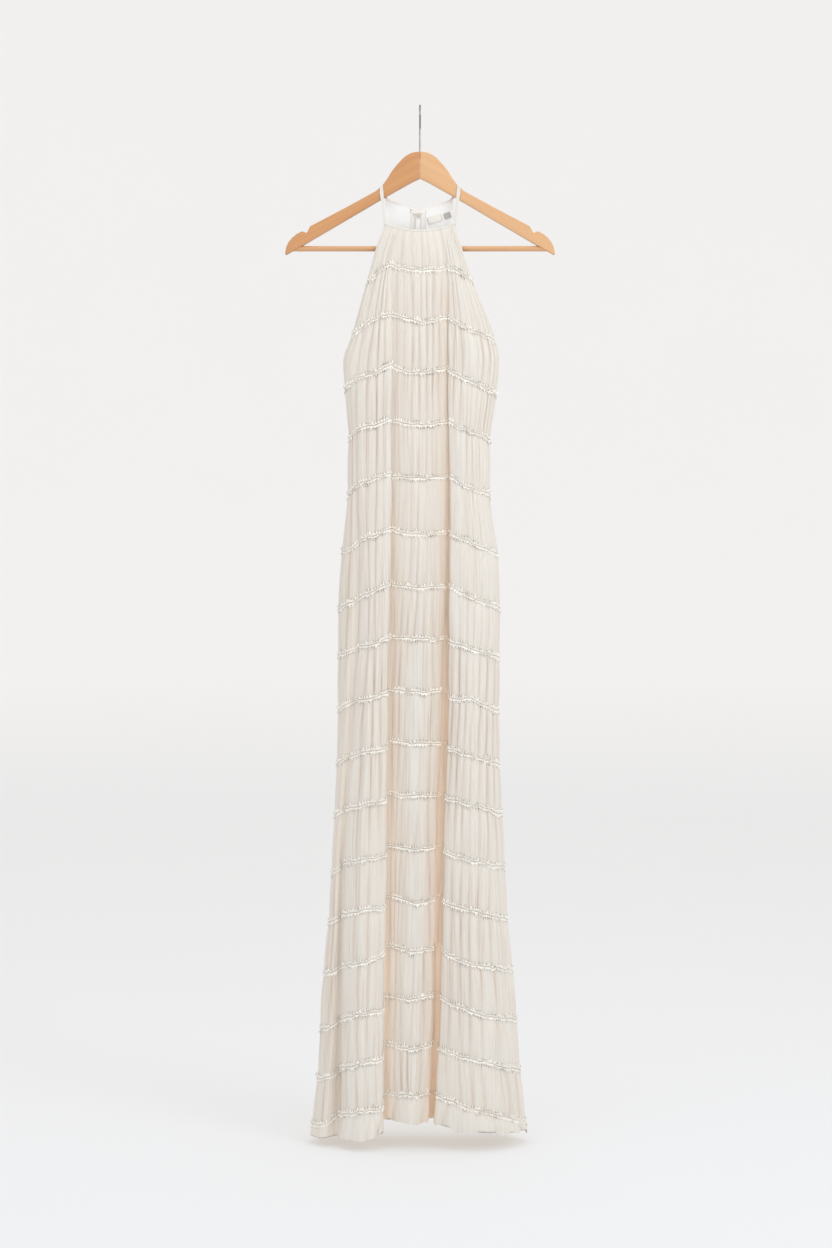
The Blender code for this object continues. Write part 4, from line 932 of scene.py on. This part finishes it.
def build_trims(front, back, centre, material):
    """Each row's trim: whole rings low down, open at the zip above, and parted at the armholes."""
    pieces = []
    for number, (name, *_) in enumerate(LEVELS[:-1]):
        ahead, behind = front.row(name), back.row(name)
        if name in OPEN_ROWS:
            parts = {"_front": [(ahead, 4, -4)], "_back_right": [(behind, 4, centre)],
                     "_back_left": [(behind, centre + 1, -4)]}
        elif name in ZIPPED_ROWS:
            parts = {"": [(behind, centre + 1, None), (ahead, 1, -1), (behind, 0, centre)]}
        else:
            parts = {"": [(ahead, 0, None), (behind, 1, -1)]}
        closed = name not in OPEN_ROWS + ZIPPED_ROWS
        for index, (part, spans) in enumerate(parts.items()):
            row = [np.vstack([side[k][first:last] for side, first, last in spans]) for k in range(3)]
            seed = 1000 + 40 * number + 11 * index
            pieces.append(trim_piece("trim_" + name[-2:] + part, *row, closed, seed, material))
    return pieces


def swept(name, centres, across, up, profile, material, values=None):
    """A closed body swept along centres; the profile's points are given across and up."""
    profile = np.array(profile)
    centres, across, up = (np.asarray(a, float) for a in (centres, across, up))
    rings = (centres[:, None] + across[:, None] * profile[None, :, :1] + up[:, None] * profile[None, :, 1:])
    rows, count = rings.shape[:2]
    faces = grid_faces(rows, count, closed=True).tolist()
    faces.append(list(range(count))[::-1])
    faces.append(list(range((rows - 1) * count, rows * count)))
    return new_piece(name, rings.reshape(-1, 3), faces, material, values)


def rounded(width, height, corner=0.7, count=12):
    """Profile of a flat bar with rounded edges."""
    angles = np.linspace(0.0, math.tau, count, endpoint=False)
    c, s = np.cos(angles), np.sin(angles)
    x = np.sign(c) * np.abs(c) ** corner * width * 0.5
    y = np.sign(s) * np.abs(s) ** corner * height * 0.5
    return np.stack([x, y], -1)


def path_frames(points):
    """Unit directions along a path."""
    along = np.gradient(points, axis=0)
    return along / np.linalg.norm(along, axis=1, keepdims=True)


def neck_binding(name, side, columns, node, material, seed):
    """A rolled binding along a neckline, slightly puckered by the gathers below it."""
    points, out = side.points[0, columns], side.out[0, columns]
    placed, facing, _, run = resample(points, out, 1.2, False)
    flat = np.zeros(len(run))
    swell = 1.0 + 0.1 * streaks(run, flat, 3.0, 1.0, seed)
    centres = placed.copy()
    centres[:, :2] -= facing * WALL * 0.5
    centres[:, 2] += BINDING_SEAT + BINDING_HEIGHT * 0.5 - 0.5
    across = np.zeros_like(placed)
    across[:, :2] = facing * swell[:, None]
    up = np.zeros_like(placed)
    up[:, 2] = swell
    piece = swept(name, centres, across, up, rounded(BINDING_THICK, BINDING_HEIGHT + 1.0, 0.8), material)
    return stand_for(piece, "chiffon", node)


def edge_binding(name, side, column, node, material, seed):
    """A narrow binding along an open armhole edge, from the neck to the underarm."""
    points = side.points[:, column]
    last = int(np.flatnonzero(points[:, 2] < UNDERARM_Z + 2.0)[0])
    points, out = points[:last], side.out[:last, column]
    along = path_frames(points)
    facing = np.hstack([out, np.zeros((len(out), 1))])
    across = np.cross(along, facing)
    inward = side.points[:last, 3 if column == 0 else -4] - points
    flip = np.sign((across * inward).sum(axis=1, keepdims=True))
    across = across * flip
    centres = points + across * EDGE_BINDING_WIDTH * 0.4 + facing * 0.3
    swell = 1.0 + 0.12 * np.random.default_rng(seed).uniform(-1.0, 1.0, (last, 1))
    piece = swept(name, centres, across * swell, facing * swell,
                  rounded(EDGE_BINDING_WIDTH, EDGE_BINDING_THICK, 0.8), material)
    return stand_for(piece, "chiffon", node)


def arm_top(x):
    """Height of the hanger's upper edge at a distance from the middle."""
    for a, b in zip(HANGER_OUTLINE, HANGER_OUTLINE[1:]):
        if a[0] <= x <= b[0]:
            return mix(a[1], b[1], (x - a[0]) / (b[0] - a[0]))
    return HANGER_OUTLINE[0][1]


def build_straps(front, back, materials):
    """Each strap runs from a front neck corner over the hanger's arm to a back neck corner."""
    lift = BINDING_SEAT + BINDING_HEIGHT + PIECE_GAP
    rest_z = arm_top(STRAP_X)
    slope = math.atan2(arm_top(STRAP_X - 2.0) - arm_top(STRAP_X + 2.0), 4.0)
    face = ARM_THICK * 0.5 + PIECE_GAP + STRAP_THICK * 0.5
    above = (PIECE_GAP + STRAP_THICK * 0.5) / math.cos(slope)
    corners = [
        ("strap_left", -1.0, front.points[0, 0], back.points[0, -1]),
        ("strap_right", 1.0, front.points[0, -1], back.points[0, 0]),
    ]
    made = {}
    for name, side, front_end, back_end in corners:
        front_y = front_end[1] + 0.6
        back_y = back_end[1] - WALL * 0.5
        path = [
            # x, y, z, share of the arm's slope, turn of the thickness from the front over the top, width
            (abs(front_end[0]) - 1.6, front_y, front_end[2] + lift - 2.0, 0.0, 0.0, STRAP_END_WIDTH),
            (mix(abs(front_end[0]), STRAP_X, 0.6), -face - 1.2, mix(front_end[2], rest_z, 0.55), 0.0, 0.0,
             STRAP_END_WIDTH),
            (STRAP_X - 0.4, -face - 0.1, rest_z - 11.0, 0.3, 0.0, STRAP_TOP_WIDTH),
            (STRAP_X, -face, rest_z - 2.2, 1.0, 5.0, STRAP_TOP_WIDTH),
            (STRAP_X, -face + 0.6, rest_z + above - 0.5, 1.0, 45.0, STRAP_TOP_WIDTH),
            (STRAP_X, -face + 2.4, rest_z + above, 1.0, 90.0, STRAP_TOP_WIDTH),
            (STRAP_X, face - 2.4, rest_z + above, 1.0, 90.0, STRAP_TOP_WIDTH),
            (STRAP_X, face - 0.6, rest_z + above - 0.5, 1.0, 135.0, STRAP_TOP_WIDTH),
            (STRAP_X - 0.2, face, rest_z - 2.2, 0.9, 175.0, STRAP_TOP_WIDTH),
            (abs(back_end[0]) - 1.4, back_y, back_end[2] + lift - 2.0, 0.2, 180.0, STRAP_END_WIDTH),
        ]
        path = np.array(path)
        run = run_along(path[:, :3])
        at = np.linspace(0.0, run[-1], 90)
        fine = np.stack([np.interp(at, run, path[:, k]) for k in range(6)], -1)
        tilt = slope * fine[:, 3]
        angle = np.radians(fine[:, 4])
        across = np.stack([side * np.cos(tilt), np.zeros(len(at)), -np.sin(tilt)], -1)
        up = np.stack([side * np.sin(tilt), np.zeros(len(at)), np.cos(tilt)], -1)
        skin = np.array([0.0, -1.0, 0.0]) * np.cos(angle)[:, None] + up * np.sin(angle)[:, None]
        centres = np.stack([side * fine[:, 0], fine[:, 1], fine[:, 2]], -1)
        profile = rounded(1.0, STRAP_THICK, 0.5, 16)
        profile[:, 1] *= 1.0 - 0.25 * np.cos(np.pi * 2.0 * np.clip(profile[:, 0] * 1.2, -0.5, 0.5)) * 0.6
        piece = swept(name + "_ribbon", centres, across * fine[:, 5:6], skin, profile, materials["binding"])
        made[name[len("strap_"):]] = stand_for(piece, "chiffon", name)
    return made


def flat_strip(name, x, width, top_z, bottom_z, y, thick, material):
    """A narrow strip of folded cloth or tape that hangs flat inside the back neck."""
    steps = 24
    centres = np.stack([np.full(steps, x), np.full(steps, y), np.linspace(top_z, bottom_z, steps)], -1)
    centres[:, 0] += STRIP_WANDER * np.sin(np.linspace(0.0, 5.0, steps) + x)
    across = np.tile([1.0, 0.0, 0.0], (steps, 1))
    up = np.tile([0.0, -1.0, 0.0], (steps, 1))
    piece = swept(name, centres, across, up, rounded(width, thick, 0.5, 12), material)
    return piece


def build_neck_details(materials):
    """Folded edges and coil guard of the closed zip, and the stitches that hold the labels."""
    tape_low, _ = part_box("zip_tape_left")
    tape_y = tape_low[1] / MM
    strips = [
        # name, x, width, top z, bottom z, thickness, material
        ("zip_guard", -3.1, 8.0, -182.0, STRIP_BOTTOM_Z, 0.7, "coil"),
        ("zip_fold_left", -8.0, 1.1, -176.6, STRIP_BOTTOM_Z, 0.9, "lining"),
        ("zip_fold_right", 1.6, 1.1, -176.6, STRIP_BOTTOM_Z, 0.9, "lining"),
        # The left zip edge and the top fold take the paler binding, painted light; the top fold also stands
        # over the shaded gap above the tapes.
        ("zip_edge_left", -15.9, 1.6, -173.2, STRIP_BOTTOM_Z, 0.5, "painted_light_binding"),
        ("zip_edge_right", 10.0, 1.5, -173.2, STRIP_BOTTOM_Z, 0.8, "lining"),
        ("zip_top_fold", -3.0, 25.6, -169.8, -174.9, 0.7, "painted_light_binding"),
    ]
    for name, x, width, top_z, bottom_z, thick, finish in strips:
        flat_strip(name, x, width, top_z, bottom_z, tape_y - thick * 0.5 - 0.02, thick, materials[finish])
    points, faces = [], []
    for node, count in (("neck_label", 7), ("size_tab", 4)):
        low, high = (np.array(corner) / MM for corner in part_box(node))
        tilt = math.radians(LABEL_TILTS[node])
        width, height = LABEL_SIZES[node]
        middle = (low + high) * 0.5
        along = np.array([math.cos(tilt), 0.0, math.sin(tilt)])
        up = np.array([-math.sin(tilt), 0.0, math.cos(tilt)])
        for end in (-1.0, 1.0):
            for step in range(count):
                at = middle + along * end * (width * 0.5 - 0.5) + up * height * ((step + 0.5) / count - 0.5)
                at[1] = low[1] - 0.08
                half = up * height / count * 0.42
                side = along * 0.28
                first = len(points)
                points += [at - half - side, at - half + side, at + half + side, at + half - side]
                faces.append([first, first + 1, first + 2, first + 3])
    piece = new_piece("label_stitches", np.array(points), faces, materials["thread"])


def set_up_view():
    """Camera at the photograph's angle, soft lights and a pale room that curves up all round."""
    scene = bpy.context.scene
    data = bpy.data.cameras.new("camera")
    data.sensor_width = SENSOR
    data.lens = SENSOR * CAMERA_DISTANCE / VIEW_HEIGHT
    camera = add_object("camera", data)
    camera.location = (CAMERA_X * MM, -CAMERA_DISTANCE * MM, CAMERA_Z * MM)
    camera.rotation_euler = (math.pi * 0.5, 0.0, 0.0)
    scene.camera = camera
    scene.view_settings.view_transform = "Standard"

    material, tree, shader = node_material("room_paper", 0.95)
    # The room glows as soft light; its cool paper colour under a warm glow leaves the shade cast on the floor
    # warm, standing in for light warmed by the cloth.
    paper = colour_mix(tree, stretched_noise(tree, (2.0, 2.0, 2.0)), (0.29, 0.348, 0.42), (0.30, 0.358, 0.43))
    tree.links.new(paper, shader.inputs["Base Color"])
    shader.inputs["Emission Color"].default_value = (0.99, 0.896, 0.79, 1.0)
    material.cycles.emission_sampling = "NONE"
    height = tree.nodes.new("ShaderNodeSeparateXYZ")
    place = tree.nodes.new("ShaderNodeTexCoord")
    tree.links.new(place.outputs["Object"], height.inputs[0])
    glow = add_node(tree, "ShaderNodeMapRange", From_Min=FLOOR_Z * MM, From_Max=(FLOOR_Z + GLOW_RISE) * MM,
                    To_Min=FLOOR_GLOW, To_Max=WALL_GLOW)
    tree.links.new(height.outputs["Z"], glow.inputs["Value"])
    tree.links.new(glow.outputs["Result"], shader.inputs["Emission Strength"])
    profile = []
    for angle in np.linspace(0.0, math.pi * 0.5, 17):
        rise = ROOM_BEND * (1.0 - math.cos(angle))
        profile.append((ROOM_RADIUS - ROOM_BEND + ROOM_BEND * math.sin(angle), rise))
    profile.append((ROOM_RADIUS, ROOM_HEIGHT))
    turns = np.linspace(0.0, math.tau, 64, endpoint=False)
    rings = [[(r * math.cos(a), r * math.sin(a), FLOOR_Z + z) for a in turns] for r, z in profile]
    points = np.array(rings).reshape(-1, 3)
    faces = grid_faces(len(rings), len(turns), closed=True).tolist()
    faces.append(list(range(len(turns))))
    add_object("room", new_mesh("room", points, faces, material))

    world = bpy.data.worlds.new("soft_world")
    scene.world = world
    world.use_nodes = True
    sky = world.node_tree.nodes["Background"].inputs
    sky["Color"].default_value = (1.0, 0.995, 0.985, 1.0)
    sky["Strength"].default_value = 0.8
    lights = [
        # name, place, size, power, colour
        ("key", (2.3, -2.4, 0.9), 1.5, 30.0, (1.0, 0.99, 0.97)),
        ("fill", (-2.4, -2.8, 0.2), 2.2, 10.0, (1.0, 0.99, 0.98)),
        ("top", (0.3, -0.8, 2.4), 2.0, 22.0, (0.96, 0.99, 1.0)),
    ]
    for name, place, size, power, colour in lights:
        lamp = bpy.data.lights.new(name, "AREA")
        lamp.size = size
        lamp.energy = power
        lamp.color = colour
        light = add_object(name, lamp)
        light.location = place
        aim = Vector((0.0, 0.0, -0.85)) - Vector(place)
        light.rotation_euler = aim.to_track_quat("-Z", "Y").to_euler()


def build_hanger(materials):
    """Wood halves with rounded edges, cut for the stem and the bar; the bar and wire keep their own forms."""
    outline = np.array(HANGER_OUTLINE)
    crown = outline[:CROWN_POINTS]
    spots = np.linspace(0.0, CROWN_POINTS - 1.0, 46)
    fine = station_weights(spots, CROWN_POINTS) @ crown
    outline = np.vstack([fine, outline[CROWN_POINTS:]])
    outline[:, 0] = np.maximum(outline[:, 0], HALF_GAP)
    cutters = [
        ("stem_cut", WIRE_RADIUS + HOLE_CLEARANCE, (0.0, 0.0, HANGER_OUTLINE[0][1] - STEM_DEPTH * 0.5 + 3.0),
         STEM_DEPTH + 6.0, (0.0, 0.0, 0.0)),
        ("bar_cut", BAR_RADIUS + HOLE_CLEARANCE, (0.0, 0.0, BAR_Z), 2.0 * (BAR_HALF_LENGTH + HOLE_CLEARANCE),
         (0.0, math.pi * 0.5, 0.0)),
    ]
    made = []
    for name, radius, place, length, turn in cutters:
        bpy.ops.mesh.primitive_cylinder_add(vertices=32, radius=radius * MM, depth=length * MM,
                                            location=Vector(place) * MM, rotation=turn)
        cutter = bpy.context.object
        cutter.name = name
        made.append(cutter)
    for side, sign in (("left", -1.0), ("right", 1.0)):
        bm = bmesh.new()
        rings = []
        for y in (-ARM_THICK * 0.5, ARM_THICK * 0.5):
            rings.append([bm.verts.new(Vector((sign * x, y, z)) * MM) for x, z in outline])
        bm.faces.new(rings[0])
        bm.faces.new(rings[1])
        for k in range(len(outline)):
            after = (k + 1) % len(outline)
            bm.faces.new((rings[0][k], rings[0][after], rings[1][after], rings[1][k]))
        bmesh.ops.recalc_face_normals(bm, faces=bm.faces[:])
        mesh = bpy.data.meshes.new("arm_" + side)
        bm.to_mesh(mesh)
        bm.free()
        source = add_object("arm_source_" + side, mesh)
        rounding = source.modifiers.new("rounding", "BEVEL")
        rounding.width = ARM_ROUNDING * MM
        rounding.segments = 4
        rounding.limit_method = "ANGLE"
        rounding.angle_limit = math.radians(50.0)
        for cutter in made:
            cut = source.modifiers.new("cut", "BOOLEAN")
            cut.operation = "DIFFERENCE"
            cut.solver = "EXACT"
            cut.object = cutter
        graph = bpy.context.evaluated_depsgraph_get()
        final = bpy.data.meshes.new_from_object(source.evaluated_get(graph))
        final.shade_smooth()
        final.set_sharp_from_angle(angle=math.radians(40.0))
        final.materials.clear()
        final.materials.append(materials["wood_" + side])
        arm = add_object("wood_arm_" + side, final)
        bpy.data.objects.remove(source, do_unlink=True)
        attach(arm, "root")
        stand_for(arm, "wood", "hanger_arm_" + side)
    for cutter in made:
        bpy.data.objects.remove(cutter, do_unlink=True)


def build_bindings(front, back, halves, materials):
    """Bindings along the necklines and the open edges of the armholes."""
    # The back's neck bindings take the paler binding, painted light over their shade.
    plain, pale = materials["binding"], materials["painted_light_binding"]
    whole = slice(0, FRONT_COLUMNS + 1)
    made = {"front": neck_binding("front_neck_roll", front, whole, "front_neck_binding", plain, 21)}
    for seed, (side, columns) in enumerate(halves.items(), 22):
        node = "back_neck_binding_" + side
        made[side] = neck_binding("back_neck_roll_" + side, back, columns, node, pale, seed)
    edges = [
        # edge, side, column
        ("front_left", front, 0),
        ("front_right", front, -1),
        ("back_right", back, 0),
        ("back_left", back, -1),
    ]
    for seed, (edge, side, column) in enumerate(edges, 30):
        node = "armhole_binding_" + edge
        made[edge] = edge_binding("armhole_roll_" + edge, side, column, node, plain, seed)
    return made


def main():
    """Build the looks and finish."""
    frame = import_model()
    nodes = frame["nodes"]
    materials = make_materials()
    set_up_view()

    front = Side(FRONT_STATIONS, front_stations, front_neck, FRONT_COLUMNS, 100)
    back = Side(BACK_STATIONS, back_stations, back_neck, BACK_COLUMNS, 5000)
    centre = int(np.abs(back.u - back.middle).argmin())
    halves = {"right": slice(0, centre + 1), "left": slice(centre, BACK_COLUMNS + 1)}
    cloth = materials["chiffon"]
    front_piece = panel_piece("front_cloth", front, slice(0, FRONT_COLUMNS + 1), cloth, "front_panel")
    for side, columns in halves.items():
        name = "back_" + side
        panel_piece(name + "_cloth", back, columns, cloth, name + "_panel")
    trims = build_trims(front, back, centre, materials["ruffle"])
    bindings = build_bindings(front, back, halves, materials)
    straps = build_straps(front, back, materials)
    build_neck_details(materials)
    build_hanger(materials)

    finishes = {
        "hanger_bar": "wood_bar", "hanger_hook": "steel", "fastener_eye": "coated", "fastener_hook": "coated",
        "zip_tape_left": "tape", "zip_tape_right": "tape", "back_neck_facing_left": "lining",
        "back_neck_facing_right": "lining", "neck_label": "label", "size_tab": "tab",
    }
    for node, finish in finishes.items():
        nodes[node].data.materials.clear()
        nodes[node].data.materials.append(materials[finish])


main()
